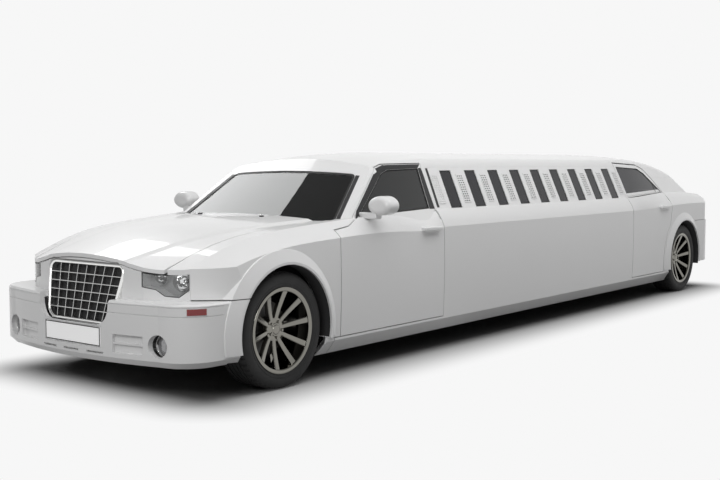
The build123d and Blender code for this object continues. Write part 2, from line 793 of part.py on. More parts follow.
hood -= grille_prism(GRILLE_FRAME + PANEL_GAP, 300, 300)
grille_frame = grille_prism(GRILLE_FRAME, GRILLE_DEPTH, 0) - grille_prism(0, GRILLE_DEPTH + 5, 5)
bars = Sketch()
for i in range(GRILLE_COLUMNS):
    place = (i + 1) / (GRILLE_COLUMNS + 1) * 2 - 1
    top = place * GRILLE_TOP_HALF
    low = place * GRILLE_LOW_HALF
    half = GRILLE_BAR / 2
    corners = [(low - half, -20), (low + half, -20), (top + half, GRILLE_HEIGHT + 20)]
    corners.append((top - half, GRILLE_HEIGHT + 20))
    bars += make_face(Polyline(corners, close=True))
for i in range(GRILLE_ROWS):
    height = (i + 1) / (GRILLE_ROWS + 1) * GRILLE_HEIGHT
    bars += Pos(0, height) * Rectangle(2 * GRILLE_TOP_HALF + 60, GRILLE_BAR)
bars = bars & grille_outline(-FIT)
grille_bars = extrude(grille_plane * Pos(0, 0, -GRILLE_DEPTH + 8) * bars, GRILLE_DEPTH - 18)

bumper_outer = (
    bumper_band(BUMPER_LOW_Z, BUMPER_LIP_Z, -52, 0)
    + bumper_band(BUMPER_LIP_Z, BUMPER_TOP_Z - 12, 0, 0)
    + bumper_band(BUMPER_TOP_Z - 12, BUMPER_TOP_Z, 0, -10)
)
bumper_inner = extrude(
    Pos(0, 0, BUMPER_LOW_Z - 10) * bumper_face(-BUMPER_WALL),
    BUMPER_TOP_Z - BUMPER_LOW_Z + 10 - BUMPER_WALL,
    dir=(0, 0, 1),
)
front_bumper = bumper_outer - bumper_inner
front_bumper -= box(front_x(300), front_x(470), -HALF_WIDTH + 40, HALF_WIDTH - 40, 0, 1000)
flare_low = front_flare & box(front_x(300), front_x(700), 800, 1100, BUMPER_LIP_Z, BUMPER_TOP_Z)
front_bumper += flare_low
front_bumper += mirrored(flare_low)
nose = under_hood & box(front_x(600), front_x(900), -CHEEK_Y - 8, CHEEK_Y + 8, BUMPER_TOP_Z - 30, 1000)
front_bumper += nose
front_bumper -= front_arch
front_bumper -= mirrored(front_arch)
front_bumper -= lamp_zone(FIT)
front_bumper -= mirrored(lamp_zone(FIT))
front_bumper -= grille_prism(GRILLE_FRAME + FIT, 300, 300)
plate_x = front_x(FRONT_OVERHANG - 20)
plate_pocket = box(
    plate_x,
    front_x(FRONT_OVERHANG + 50),
    -PLATE_WIDTH / 2 - 8,
    PLATE_WIDTH / 2 + 8,
    PLATE_Z - PLATE_HEIGHT / 2 - 8,
    PLATE_Z + PLATE_HEIGHT / 2 + 8,
)
front_bumper -= plate_pocket
number_plate = box(
    plate_x + FIT,
    plate_x + 8,
    -PLATE_WIDTH / 2,
    PLATE_WIDTH / 2,
    PLATE_Z - PLATE_HEIGHT / 2,
    PLATE_Z + PLATE_HEIGHT / 2,
)

# Strip grooves, air recesses and slots in the front bumper
GROOVE_DEPTH = 3.0
GROOVE_HEIGHT = 4.0
STRIP_LOW_Z = 518.0
STRIP_TOP_Z = 570.0
RECESS_DEPTH = 22.0
RECESS_BAR_DEPTH = 9.0
RECESS_INNER_Y = 362.0
RECESS_OUTER_Y = 582.0
RECESS_LOW_Z = 288.0
RECESS_TOP_Z = 396.0
RECESS_BAR = 12.0
SLOT_PITCH = 215.0
SLOT_LENGTH = 140.0
SLOT_Z = 270.0
SLOT_HEIGHT = 12.0


def bumper_pocket(y_low, y_high, z_low, z_high, depth):
    """Recess of even depth in the front bumper's outer face."""
    block = box(front_x(500), front_x(1000), y_low, y_high, z_low, z_high)
    return block - extrude(Pos(0, 0, z_low - 10) * bumper_face(-depth), z_high - z_low + 20, dir=(0, 0, 1))


for groove_z in (STRIP_LOW_Z, STRIP_TOP_Z):
    ring = bumper_band(groove_z, groove_z + GROOVE_HEIGHT, 2.0, 2.0)
    ring -= bumper_band(groove_z - 5, groove_z + GROOVE_HEIGHT + 5, -GROOVE_DEPTH, -GROOVE_DEPTH)
    ring &= box(front_x(520), front_x(1000), -1100, 1100, 0, 1000)
    front_bumper -= ring
recess_middle = (RECESS_LOW_Z + RECESS_TOP_Z) / 2
recess = bumper_pocket(RECESS_INNER_Y, RECESS_OUTER_Y, RECESS_LOW_Z, recess_middle - RECESS_BAR / 2, RECESS_DEPTH)
recess += bumper_pocket(RECESS_INNER_Y, RECESS_OUTER_Y, recess_middle + RECESS_BAR / 2, RECESS_TOP_Z, RECESS_DEPTH)
recess += bumper_pocket(RECESS_INNER_Y, RECESS_OUTER_Y, RECESS_LOW_Z, RECESS_TOP_Z, RECESS_BAR_DEPTH)
front_bumper -= recess
front_bumper -= mirrored(recess)
for i in (-1, 0, 1):
    middle = i * SLOT_PITCH
    front_bumper -= bumper_pocket(
        middle - SLOT_LENGTH / 2, middle + SLOT_LENGTH / 2, SLOT_Z, SLOT_Z + SLOT_HEIGHT, RECESS_DEPTH
    )

# Fog lamps in round recesses
FOG_Y = 684.0
FOG_Z = 346.0
FOG_RADIUS = 66.0
FOG_LENS_R = 150.0
FOG_FACE_X = 772.0
fog_recess = Pos(front_x(700), FOG_Y, FOG_Z) * Rot(0, 90, 0) * Cylinder(FOG_RADIUS, 400)
front_bumper -= fog_recess
front_bumper -= mirrored(fog_recess)
fog_lamp = Pos(front_x(745), FOG_Y, FOG_Z) * Rot(0, 90, 0) * Cylinder(FOG_RADIUS - FIT, 60)
fog_lamp &= ball(front_x(FOG_FACE_X - FOG_LENS_R), FOG_Y, FOG_Z, FOG_LENS_R)

# Headlamps: dark housing behind a clear lens
LENS_THICKNESS = 5.0
LENS_SPACE = 70.0
lamp_room = under_hood & lamp_zone(0.0)
headlamp_lens = lamp_room - shifted(under_hood, x=-LENS_THICKNESS)
headlamp = lamp_room & shifted(under_hood, x=-LENS_SPACE)
BULB_RADIUS = 20.0


class Bowl(NamedTuple):
    """One round reflector of a headlamp: place of its rim and its radius."""

    ahead: float
    y: float
    z: float
    radius: float


BOWLS = [Bowl(650.0, 556.0, 728.0, 47.0), Bowl(590.0, 664.0, 697.0, 58.0)]
for bowl in BOWLS:
    headlamp -= ball(front_x(bowl.ahead), bowl.y, bowl.z, bowl.radius)
    headlamp += ball(front_x(bowl.ahead - bowl.radius), bowl.y, bowl.z, BULB_RADIUS)

# Tail: quarters, trunk lid and rear bumper
LID_FRONT = -664.0
LID_HALF = 590.0
DECK_HALF = 606.0
LID_LOW_Z = 770.0
TAIL_BUMPER_TOP_Z = 752.0
TAIL_BUMPER_LOW_Z = 300.0
TAIL_LAMP_INNER_Y = 600.0
TAIL_LAMP_LOW_Z = 776.0
TAIL_LAMP_TOP_Z = 985.0
TAIL_LAMP_DEPTH = 30.0
TAIL_LAMP_AHEAD = -740.0
lid_zone = box(rear_x(-1200), rear_x(LID_FRONT), -LID_HALF, LID_HALF, LID_LOW_Z, 1300)
lid_hole = box(
    rear_x(-1200),
    rear_x(LID_FRONT + 12),
    -LID_HALF - PANEL_GAP,
    LID_HALF + PANEL_GAP,
    LID_LOW_Z - PANEL_GAP,
    1300,
)
trunk_lid = (rear_body & lid_zone) - shifted(rear_body, x=LID_THICKNESS, z=-LID_THICKNESS)
LID_AXIS_X = -744.0
LID_AXIS_Z = 1042.0
lid_bore = cross_pin(rear_x(LID_AXIS_X), LID_AXIS_Z, LID_PIN_RADIUS + STUB_FIT, LID_HALF - 20, LID_HALF + 5)
trunk_lid -= lid_bore
trunk_lid -= mirrored(lid_bore)
tail_lamp_zone = box(
    rear_x(-1200), rear_x(TAIL_LAMP_AHEAD), TAIL_LAMP_INNER_Y, 1100, TAIL_LAMP_LOW_Z, TAIL_LAMP_TOP_Z
)
tail_lamp = (rear_body & tail_lamp_zone) - shifted(rear_body, x=TAIL_LAMP_DEPTH, y=-TAIL_LAMP_DEPTH)
tail_lamp_hole = box(
    rear_x(-1200),
    rear_x(TAIL_LAMP_AHEAD) + FIT,
    TAIL_LAMP_INNER_Y - FIT,
    1100,
    TAIL_LAMP_LOW_Z - FIT,
    TAIL_LAMP_TOP_Z + FIT,
)
quarter_zone = box(rear_x(-1200), rear_x(700), 300, 1100, SILL_Z, 1230)
quarter_box = box(rear_x(-1500), rear_x(760), -1100, 1100, 700, 1600)
quarter_upper = upper & quarter_box
quarter = rear_body - shifted(rear_body, x=40, y=-QUARTER_WALL, z=-30)
quarter += quarter_upper - shifted(quarter_upper, y=-PILLAR_WALL)
quarter &= quarter_zone
quarter += rear_flare
quarter -= rear_arch
quarter -= rear_door_hole
quarter -= lid_hole
quarter -= tail_lamp_hole
quarter -= box(rear_x(-1200), rear_x(-300), 0, 1100, 0, TAIL_BUMPER_TOP_Z + PANEL_GAP)
quarter -= box(rear_x(-1200), rear_x(700), 0, DECK_HALF + FIT, 0, 1300)
quarter -= box(rear_x(0), rear_x(760), 0, 1100, 0, sill_top)
quarter += cross_pin(rear_x(LID_AXIS_X), LID_AXIS_Z, LID_PIN_RADIUS, LID_HALF - 16, DECK_HALF + 20)
rear_deck = rear_body - shifted(rear_body, z=-25)
rear_deck &= box(rear_x(LID_FRONT + 12), rear_x(-150), -DECK_HALF, DECK_HALF, 700, 1300)


def tail_bumper_face(grow):
    """Plan outline of the rear bumper."""
    back = (rear_x(-REAR_OVERHANG - grow), 0)
    end = (rear_x(-REAR_OVERHANG + 72 - grow), 650)
    turn = (rear_x(-REAR_OVERHANG + 178 - grow), 862 + grow * 0.5)
    side = (rear_x(-540), HALF_WIDTH - 2 + grow)
    front = (rear_x(-300), HALF_WIDTH - 2 + grow)
    edges = [
        ThreePointArc(end, back, mirror_xy(end)),
        ThreePointArc(mirror_xy(end), mirror_xy(turn), mirror_xy(side)),
        Line(mirror_xy(side), mirror_xy(front)),
        Line(mirror_xy(front), front),
        Line(front, side),
        ThreePointArc(side, turn, end),
    ]
    return make_face(edges)


rear_bumper = extrude(
    Pos(0, 0, TAIL_BUMPER_LOW_Z) * tail_bumper_face(0.0), TAIL_BUMPER_TOP_Z - TAIL_BUMPER_LOW_Z, dir=(0, 0, 1)
)
rear_bumper -= extrude(
    Pos(0, 0, TAIL_BUMPER_LOW_Z - 10) * tail_bumper_face(-BUMPER_WALL),
    TAIL_BUMPER_TOP_Z - TAIL_BUMPER_LOW_Z + 10 - BUMPER_WALL,
    dir=(0, 0, 1),
)
rear_bumper -= extrude(Pos(0, 0, 100) * tail_bumper_face(-90), 900, dir=(0, 0, 1))
tail_flare = rear_flare & box(rear_x(-700), rear_x(-300), 800, 1100, TAIL_BUMPER_LOW_Z, TAIL_BUMPER_TOP_Z)
rear_bumper += tail_flare
rear_bumper += mirrored(tail_flare)
rear_bumper -= rear_arch
rear_bumper -= mirrored(rear_arch)

# Roof with the windscreen posts
screen_plane = Plane(
    origin=(front_x(SCREEN_BASE), 0, SCREEN_BASE_Z),
    x_dir=(0, 1, 0),
    z_dir=(sin(radians(SCREEN_SLOPE)), 0, cos(radians(SCREEN_SLOPE))),
)
backlight_plane = Plane(
    origin=(rear_x(BACKLIGHT_BASE), 0, BACKLIGHT_BASE_Z),
    x_dir=(0, -1, 0),
    z_dir=(-sin(radians(BACKLIGHT_SLOPE)), 0, cos(radians(BACKLIGHT_SLOPE))),
)


def pane_prism(plane, low, low_half, rise, top_half, grow):
    """Opening of a screen, square to its slope."""
    points = [
        (-low_half - grow, low - grow),
        (low_half + grow, low - grow),
        (top_half + grow, rise + grow),
        (-top_half - grow, rise + grow),
    ]
    face = make_face(Polyline(points, close=True))
    face = fillet(face.vertices().sort_by(Axis.Y)[-2:], 60 + grow)
    return extrude(plane * Pos(0, 0, -160) * face, 320)


def screen_opening(grow):
    """Windscreen opening."""
    return pane_prism(screen_plane, 12, SCREEN_LOW_HALF, SCREEN_RISE, SCREEN_TOP_HALF, grow)


def backlight_opening(grow):
    """Rear window opening."""
    return pane_prism(
        backlight_plane, 30, BACKLIGHT_LOW_HALF, BACKLIGHT_RISE, BACKLIGHT_TOP_HALF, grow
    )


fender -= screen_opening(PANEL_GAP)
fender += cross_pin(front_x(HOOD_AXIS_X), HOOD_AXIS_Z, LID_PIN_RADIUS, hood_edge - 16, hood_edge + PANEL_GAP + 20)
inner_room = upper_inner & screen_side(PILLAR_WALL) & backlight_side(PILLAR_WALL)
roof_panel = upper - inner_room
roof_panel -= lower
for side in (1, -1):
    for piece in (front_door_hole, rear_door_hole, side_zone, quarter_zone):
        roof_panel -= piece if side == 1 else mirrored(piece)
roof_panel -= screen_opening(0.0)
roof_panel -= backlight_opening(0.0)
keep_low = box(-9000, 9000, -1100, 1100, BELT_Z - 60, 1600)
roof_panel &= keep_low

windscreen = (upper_raw & screen_side(GLASS_INSET)) - screen_side(GLASS_INSET + GLASS_THICKNESS)
windscreen &= screen_opening(-FIT)
rear_window = (upper_raw & backlight_side(GLASS_INSET)) - backlight_side(GLASS_INSET + GLASS_THICKNESS)
rear_window &= backlight_opening(-FIT)

# Floor
FLOOR_Z = 200.0
FLOOR_THICKNESS = 40.0
TRUNK_FLOOR_Z = 420.0
TUNNEL_HALF = 150.0
TUNNEL_TOP_Z = 410.0
TUNNEL_WALL = 25.0
sill_slope = (SILL_TUCK - ROCKER_IN) / (ROCKER_Z - SILL_Z)
floor_half = HALF_WIDTH - SILL_TUCK - WALL + sill_slope * (FLOOR_Z - SILL_Z) - FIT
floor_top = FLOOR_Z + FLOOR_THICKNESS
kick_x = rear_x(520)
floor_pan = box(kick_x, front_x(-470 - FIT), -floor_half, floor_half, FLOOR_Z, floor_top)
floor_pan += box(kick_x - 20, kick_x, -floor_half, floor_half, FLOOR_Z, TRUNK_FLOOR_Z + FLOOR_THICKNESS)
floor_pan += box(
    rear_x(-REAR_OVERHANG + 120), kick_x, -600, 600, TRUNK_FLOOR_Z, TRUNK_FLOOR_Z + FLOOR_THICKNESS
)
tunnel_half = TUNNEL_HALF + TUNNEL_WALL
tunnel = box(kick_x, front_x(-512), -tunnel_half, tunnel_half, FLOOR_Z, TUNNEL_TOP_Z + TUNNEL_WALL)
tunnel_room = box(kick_x - 30, front_x(0), -TUNNEL_HALF, TUNNEL_HALF, 0, TUNNEL_TOP_Z)
floor_pan += tunnel
floor_pan -= tunnel_room


# Cowl and firewall
COWL_DROP = 48.0
cowl_box = box(front_x(-790), front_x(-470), -640, 640, FLOOR_Z + FLOOR_THICKNESS + FIT, 1200)
cowl_panel = shifted(front_body, z=-COWL_DROP) & cowl_box
cowl_panel -= shifted(front_body, z=-COWL_DROP - 20) & box(front_x(-900), front_x(-510), -800, 800, 0, 1200)

cowl_panel -= box(front_x(-800), front_x(0), -150, 150, 0, 440)

# Wheels, built on the left and mirrored
def turned(x, y, points):
    """Ring turned about a wheel's axis from (radius, along) points."""
    face = make_face(Polyline([(x + r, y + a, AXLE_Z) for r, a in points], close=True))
    return revolve(face, Axis((x, y, AXLE_Z), (0, 1, 0)), 360)


def make_tyre(x, y):
    """Tyre with flat tread and slanted shoulders."""
    half = TYRE_WIDTH / 2
    bead = RIM_RADIUS + FIT
    seat = RIM_WIDTH / 2 - RIM_LIP - FIT
    lip = RIM_LIP_RADIUS + FIT
    profile = [
        (bead, -seat),
        (lip, -seat),
        (lip + 34, -half),
        (TYRE_RADIUS - 18, -half + 10),
        (TYRE_RADIUS, -half + 34),
        (TYRE_RADIUS, half - 34),
        (TYRE_RADIUS - 18, half - 10),
        (lip + 34, half),
        (lip, seat),
        (bead, seat),
    ]
    return turned(x, y, profile)


SPOKE_ROOT = 46.0
SPOKE_TIP = 34.0


def make_rim(x, y):
    """Alloy rim: barrel with lips, hub and tapered dished spokes."""
    half = RIM_WIDTH / 2
    inner = RIM_RADIUS - RIM_WALL
    barrel = [
        (inner, -half),
        (RIM_LIP_RADIUS, -half),
        (RIM_LIP_RADIUS, -half + RIM_LIP),
        (RIM_RADIUS, -half + RIM_LIP),
        (RIM_RADIUS, half - RIM_LIP),
        (RIM_LIP_RADIUS, half - RIM_LIP),
        (RIM_LIP_RADIUS, half),
        (inner, half),
    ]
    rim = turned(x, y, barrel)
    bore = STUB_RADIUS + STUB_FIT
    hub = [(bore, 8.0), (HUB_RADIUS, 8.0), (HUB_RADIUS, 44.0), (HUB_RADIUS - 14, 54.0), (bore, 54.0)]
    rim += turned(x, y, hub)
    root = HUB_RADIUS - 12
    tip = inner + 4
    front_face = make_face(
        Polyline(
            [(x + root, y + 48, AXLE_Z), (x + tip, y + half - 12, AXLE_Z), (x + tip, y + half - 52, AXLE_Z),
             (x + root, y + 10, AXLE_Z)],
            close=True,
        )
    )
    web = extrude(Pos(0, 0, -60) * front_face, 120, dir=(0, 0, 1))
    taper = make_face(
        Polyline(
            [(x + root, 0, AXLE_Z - SPOKE_ROOT / 2), (x + tip, 0, AXLE_Z - SPOKE_TIP / 2),
             (x + tip, 0, AXLE_Z + SPOKE_TIP / 2), (x + root, 0, AXLE_Z + SPOKE_ROOT / 2)],
            close=True,
        )
    )
    spoke = web & side_prism(taper, y - 200, y + 200)
    axis = Axis((x, y, AXLE_Z), (0, 1, 0))
    for i in range(SPOKES):
        rim += spoke.rotate(axis, 360.0 / SPOKES * (i + 0.5))
    return rim


def make_disc(x, y):
    """Brake disc with its hat, seated behind the rim's hub."""
    bore = STUB_RADIUS + STUB_FIT
    profile = [
        (bore, -36.0),
        (HUB_RADIUS + 20, -36.0),
        (HUB_RADIUS + 20, -36.0 - DISC_THICKNESS),
        (DISC_RADIUS, -36.0 - DISC_THICKNESS),
        (DISC_RADIUS, -36.0),
        (HUB_RADIUS - 2, -36.0 + 8),
        (HUB_RADIUS - 2, 8.0 - FIT),
        (bore, 8.0 - FIT),
    ]
    return turned(x, y, profile)


# Steering knuckle, front subframe, rear axle
KNUCKLE_BACK = 150.0
KNUCKLE_FRONT = 78.0
stub_end = WHEEL_Y + 50
knuckle = axle_cylinder(FRONT_AXLE_X, STUB_RADIUS, WHEEL_Y - KNUCKLE_FRONT - 5, stub_end)
knuckle += box(
    front_x(-45), front_x(45), WHEEL_Y - KNUCKLE_BACK, WHEEL_Y - KNUCKLE_FRONT, AXLE_Z - 110, AXLE_Z + 150
)
knuckle += box(front_x(-150), front_x(-40), KINGPIN_Y - 25, KINGPIN_Y + 25, AXLE_Z - 70, AXLE_Z - 45)
pin_low = AXLE_Z - 150
pin_hole = Pos(FRONT_AXLE_X, KINGPIN_Y, pin_low) * Cylinder(
    KINGPIN_RADIUS + STUB_FIT, 120, align=(Align.CENTER, Align.CENTER, Align.MIN)
)
knuckle -= pin_hole
SUBFRAME_HALF = 360.0
ARM_PAD_RADIUS = 34.0
arm = box(front_x(-60), front_x(60), SUBFRAME_HALF - 10, KINGPIN_Y, pin_low - 30, pin_low + 10)
arm += Pos(FRONT_AXLE_X, KINGPIN_Y, pin_low - 10) * Cylinder(ARM_PAD_RADIUS, 40)
arm += Pos(FRONT_AXLE_X, KINGPIN_Y, pin_low) * Cylinder(
    KINGPIN_RADIUS, 100, align=(Align.CENTER, Align.CENTER, Align.MIN)
)
front_subframe = box(front_x(-220), front_x(220), -SUBFRAME_HALF, SUBFRAME_HALF, pin_low - 30, pin_low + 30)
rail_end = box(front_x(340), front_x(900), 305, 355, 300, 380)
rail_end &= extrude(bumper_face(-BUMPER_WALL - FIT), 1000, dir=(0, 0, 1))
rail = box(front_x(-470 + FIT), front_x(340), 305, 355, 300, 380) + rail_end
rail += box(front_x(-100), front_x(100), 305, 355, pin_low, 310)
front_subframe += rail
front_subframe += mirrored(rail)
front_subframe += arm
front_subframe += mirrored(arm)

rear_stub = axle_cylinder(REAR_AXLE_X, STUB_RADIUS, WHEEL_Y - 140, stub_end)
rear_stub += box(
    rear_x(-55), rear_x(55), WHEEL_Y - KNUCKLE_BACK, WHEEL_Y - KNUCKLE_FRONT, AXLE_Z - 90, AXLE_Z + 90
)
rear_axle = axle_cylinder(REAR_AXLE_X, 40, -WHEEL_Y + 140, WHEEL_Y - 140)
rear_axle += rear_stub
rear_axle += mirrored(rear_stub)
rear_axle += Pos(REAR_AXLE_X, 0, AXLE_Z - 10) * Sphere(120)
rear_axle &= box(rear_x(-300), rear_x(300), -1100, 1100, 0, TRUNK_FLOOR_Z)

# Liners over the wheels
LINER_WALL = 6.0


def make_liner(axle_x, y_low, y_high, radius):
    """Half tube over a wheel, closed to the car's middle when y_low is a wall."""
    tube = axle_cylinder(axle_x, radius + LINER_WALL, y_low, y_high)
    tube -= axle_cylinder(axle_x, radius, y_low - 5, y_high + 5)
    return tube & box(axle_x - 600, axle_x + 600, 0, 1100, AXLE_Z - 90, 1300)


# Engine with gearbox, propshaft, exhaust
engine = box(front_x(-330), front_x(420), -300, 300, 300, 800)
engine += box(front_x(-60), front_x(60), -120, 120, pin_low + 30 + FIT, 310)
engine += box(front_x(-1000), front_x(-330), -130, 130, 215, 400)
propshaft = Pos((front_x(-1000) + rear_x(120.5)) / 2, 0, 330) * Rot(0, 90, 0) * Cylinder(
    38, front_x(-1000) - rear_x(120.5)
)

# Seats, dashboard, steering wheel
SEAT_TABLE = [
    ("driver", -1560.0, 410.0, 450.0),
    ("passenger", -1560.0, -410.0, 450.0),
]


def make_seat(x, y, width):
    """Cushion, back and headrest in one piece."""
    side = make_face(
        Polyline(
            [(x, 0, floor_top + FIT), (x + 480, 0, floor_top + FIT), (x + 500, 0, 500), (x + 40, 0, 460), (x - 130, 0, 1010),
             (x - 160, 0, 1130), (x - 250, 0, 1130), (x - 230, 0, 990), (x - 110, 0, 400)],
            close=True,
        )
    )
    return side_prism(side, y - width / 2, y + width / 2)


seats = [make_seat(front_x(x), y, width) for _, x, y, width in SEAT_TABLE]
bench_x = rear_x(700)
tunnel_clear = box(-5000, 5000, -tunnel_half - FIT, tunnel_half + FIT, 0, TUNNEL_TOP_Z + TUNNEL_WALL + FIT)
seats.append(make_seat(bench_x, 0, 1300) - tunnel_clear)

dashboard = box(front_x(-1010), front_x(-510 - FIT), -600, 600, 640, 900)
COLUMN_ANGLE = 24.0
WHEEL_CENTRE = (front_x(-1180), 400.0, 905.0)
steering_plane = Plane(
    origin=WHEEL_CENTRE,
    x_dir=(0, 1, 0),
    z_dir=(-cos(radians(COLUMN_ANGLE)), 0, sin(radians(COLUMN_ANGLE))),
)
steering_wheel = steering_plane * (Torus(185, 15) + Cylinder(45, 40) + Box(370, 26, 16))
column = steering_plane * Pos(0, 0, -20 - STUB_FIT) * Cylinder(28, 180, align=(Align.CENTER, Align.CENTER, Align.MAX))
dashboard += column

# Door mirrors and handles
MIRROR_X = -935.0
MIRROR_Y = 968.0
MIRROR_Z = 1098.0
MIRROR_HALF_WIDTH = 98.0
MIRROR_HALF_HEIGHT = 66.0
MIRROR_LENGTH = 112.0
MIRROR_ROUND = 40.0
MIRROR_FOOT_ROUND = 12.0
mirror_head = extrude(Plane.YZ * Ellipse(MIRROR_HALF_WIDTH, MIRROR_HALF_HEIGHT), MIRROR_LENGTH)
mirror_head = fillet(mirror_head.edges().sort_by(Axis.X)[-1], MIRROR_ROUND)
door_mirror = Pos(front_x(MIRROR_X) - MIRROR_LENGTH / 2, MIRROR_Y, MIRROR_Z) * mirror_head
mirror_foot = box(front_x(-950), front_x(-890), 800, MIRROR_Y - 20, 1008, 1052)
door_mirror += fillet(mirror_foot.edges().filter_by(Axis.Y), MIRROR_FOOT_ROUND)
door_mirror -= shifted(front_body, y=2 * FIT, z=FIT)
door_mirror -= shifted(front_upper, y=2 * FIT, z=FIT)
door_mirror = door_mirror.solids().sort_by(Axis.Y)[-1]

HANDLE_LENGTH = 210.0
HANDLE_HEIGHT = 30.0
HANDLE_PROUD = 24.0
HANDLE_ROUND = 9.0


def make_handle(x, z, form):
    """Bar handle standing on the door's shoulder."""
    bar = box(
        x - HANDLE_LENGTH / 2,
        x + HANDLE_LENGTH / 2,
        HALF_WIDTH - 60,
        HALF_WIDTH + HANDLE_PROUD,
        z - HANDLE_HEIGHT / 2,
        z + HANDLE_HEIGHT / 2,
    )
    bar = fillet(bar.edges(), HANDLE_ROUND)
    bar -= shifted(form, y=FIT)
    return bar.solids().sort_by(Axis.Y)[-1]


front_handle = make_handle(front_x(-1560), 912.0, front_body)
rear_handle = make_handle(rear_x(560), 932.0, rear_body)

# Side markers on the bumper's corners
MARKER_LOW_Z = 530.0
MARKER_TOP_Z = 566.0
marker_zone = box(front_x(640), front_x(735), 780, 1100, MARKER_LOW_Z, MARKER_TOP_Z)
marker_layer = extrude(Pos(0, 0, 500) * bumper_face(3.0), 100, dir=(0, 0, 1))
marker_layer -= extrude(Pos(0, 0, 500) * bumper_face(FIT), 100, dir=(0, 0, 1))
side_marker = marker_layer & marker_zone

# Exhaust
EXHAUST_Y = 300.0
PIPE_RADIUS = 32.0
pipe_z = FLOOR_Z - PIPE_RADIUS
pipe_front = front_x(-900)
pipe_rear = rear_x(-570)
exhaust = Pos((pipe_front + pipe_rear) / 2, EXHAUST_Y, pipe_z) * Rot(0, 90, 0) * Cylinder(
    PIPE_RADIUS, pipe_front - pipe_rear
)
exhaust += box(rear_x(-860), rear_x(-560), EXHAUST_Y - 150, EXHAUST_Y + 150, pipe_z - 30, pipe_z + 110)
exhaust += Pos(rear_x(-890), EXHAUST_Y, pipe_z + 40) * Rot(0, 90, 0) * Cylinder(PIPE_RADIUS, 80)


def pair(shape):
    """The piece and its copy on the other side."""
    return Compound(list(shape.solids()) + list(mirrored(shape).solids()))


def all_of(shapes):
    """Several pieces as one node."""
    return Compound([solid for shape in shapes for solid in shape.solids()])


front_liner = make_liner(FRONT_AXLE_X, 470, HALF_WIDTH - FLARE_DEPTH - FIT, WELL_RADIUS)
front_liner -= front_bumper
front_liner -= fender
rear_liner = make_liner(REAR_AXLE_X, 622, HALF_WIDTH - FLARE_DEPTH - FIT, WELL_RADIUS - 20)
rear_liner -= quarter

nodes = {
    "roof_panel": roof_panel,
    "side_panels": pair(side_panel),
    "quarter_panels": pair(quarter),
    "floor_pan": floor_pan,
    "front_fenders": pair(fender),
    "front_bumper": front_bumper,
    "rear_bumper": rear_bumper,
    "cowl_panel": cowl_panel,
    "grille_frame": grille_frame,
    "grille_bars": grille_bars,
    "headlamps": pair(headlamp),
    "headlamp_lenses": pair(headlamp_lens),
    "fog_lamps": pair(fog_lamp),
    "red_lamps": all_of([pair(tail_lamp), pair(side_marker)]),
    "windscreen": windscreen,
    "rear_window": rear_window,
    "slit_windows": all_of([pair(pane) for pane in slit_windows]),
    "louvre_panels": all_of([pair(plate) for plate in louvre_panels]),
    "number_plate": number_plate,
    "exhaust": exhaust,
    "front_subframe": front_subframe,
    "rear_axle": rear_axle,
    "propshaft": propshaft,
    "engine": engine,
    "dashboard": dashboard,
    "seats": all_of(seats),
    "arch_liners": all_of([pair(front_liner), pair(rear_liner)]),
    "rear_deck": rear_deck,
    "hood": hood,
    "trunk_lid": trunk_lid,
    "steering_wheel": steering_wheel,
}
sides = {"left": 1, "right": -1}
for side, sign in sides.items():
    pieces = {
        f"door_front_{side}": all_of([front_door, front_handle]),
        f"door_rear_{side}": all_of([rear_door, rear_handle]),
        f"glass_front_{side}": front_door_glass,
        f"glass_rear_{side}": rear_door_glass,
        f"mirror_{side}": door_mirror,
        f"knuckle_{side}": knuckle,
    }
    for end, x in (("front", FRONT_AXLE_X), ("rear", REAR_AXLE_X)):
        pieces[f"tyre_{end}_{side}"] = make_tyre(x, WHEEL_Y)
        pieces[f"rim_{end}_{side}"] = make_rim(x, WHEEL_Y)
        pieces[f"disc_{end}_{side}"] = make_disc(x, WHEEL_Y)
    for name, shape in pieces.items():
        nodes[name] = shape if sign == 1 else mirrored(shape)

for name, shape in nodes.items():
    export_step(shape, f"parts/{name}.step")
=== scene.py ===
"""Studio dress of a white stretch limousine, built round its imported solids."""

import logging
import math
from dataclasses import dataclass
from enum import Enum
from typing import Iterable, Sequence

import bmesh
import bpy
from mathutils import Matrix, Vector
from mathutils.bvhtree import BVHTree


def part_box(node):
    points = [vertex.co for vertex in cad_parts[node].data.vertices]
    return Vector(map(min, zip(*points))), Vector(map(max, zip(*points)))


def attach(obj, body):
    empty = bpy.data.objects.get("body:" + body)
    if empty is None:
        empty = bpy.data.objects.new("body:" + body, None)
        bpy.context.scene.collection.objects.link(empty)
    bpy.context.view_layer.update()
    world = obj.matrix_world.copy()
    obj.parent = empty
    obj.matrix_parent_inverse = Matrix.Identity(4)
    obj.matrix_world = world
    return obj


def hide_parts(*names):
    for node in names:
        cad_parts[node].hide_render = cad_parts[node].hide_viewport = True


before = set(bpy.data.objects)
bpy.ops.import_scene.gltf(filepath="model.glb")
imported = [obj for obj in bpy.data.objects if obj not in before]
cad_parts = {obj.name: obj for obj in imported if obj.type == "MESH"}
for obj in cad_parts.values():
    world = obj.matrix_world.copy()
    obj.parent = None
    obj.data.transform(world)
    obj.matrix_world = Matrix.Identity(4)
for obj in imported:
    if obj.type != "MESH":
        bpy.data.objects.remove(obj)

LOG = logging.getLogger("limousine")
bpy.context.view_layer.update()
WELD = 2e-5

Colour = tuple[float, float, float]
Point = tuple[float, float, float]
Outline = tuple[tuple[float, float], ...]
Mesh = bmesh.types.BMesh
Vert = bmesh.types.BMVert
Edge = bmesh.types.BMEdge
Face = bmesh.types.BMFace
Socket = bpy.types.NodeSocket

AHEAD = Vector((1.0, 0.0, 0.0))
DOWN = Vector((0.0, 0.0, -1.0))


class Side(Enum):
    """The car's two sides, with the sign of Y on each."""

    LEFT = 1
    RIGHT = -1


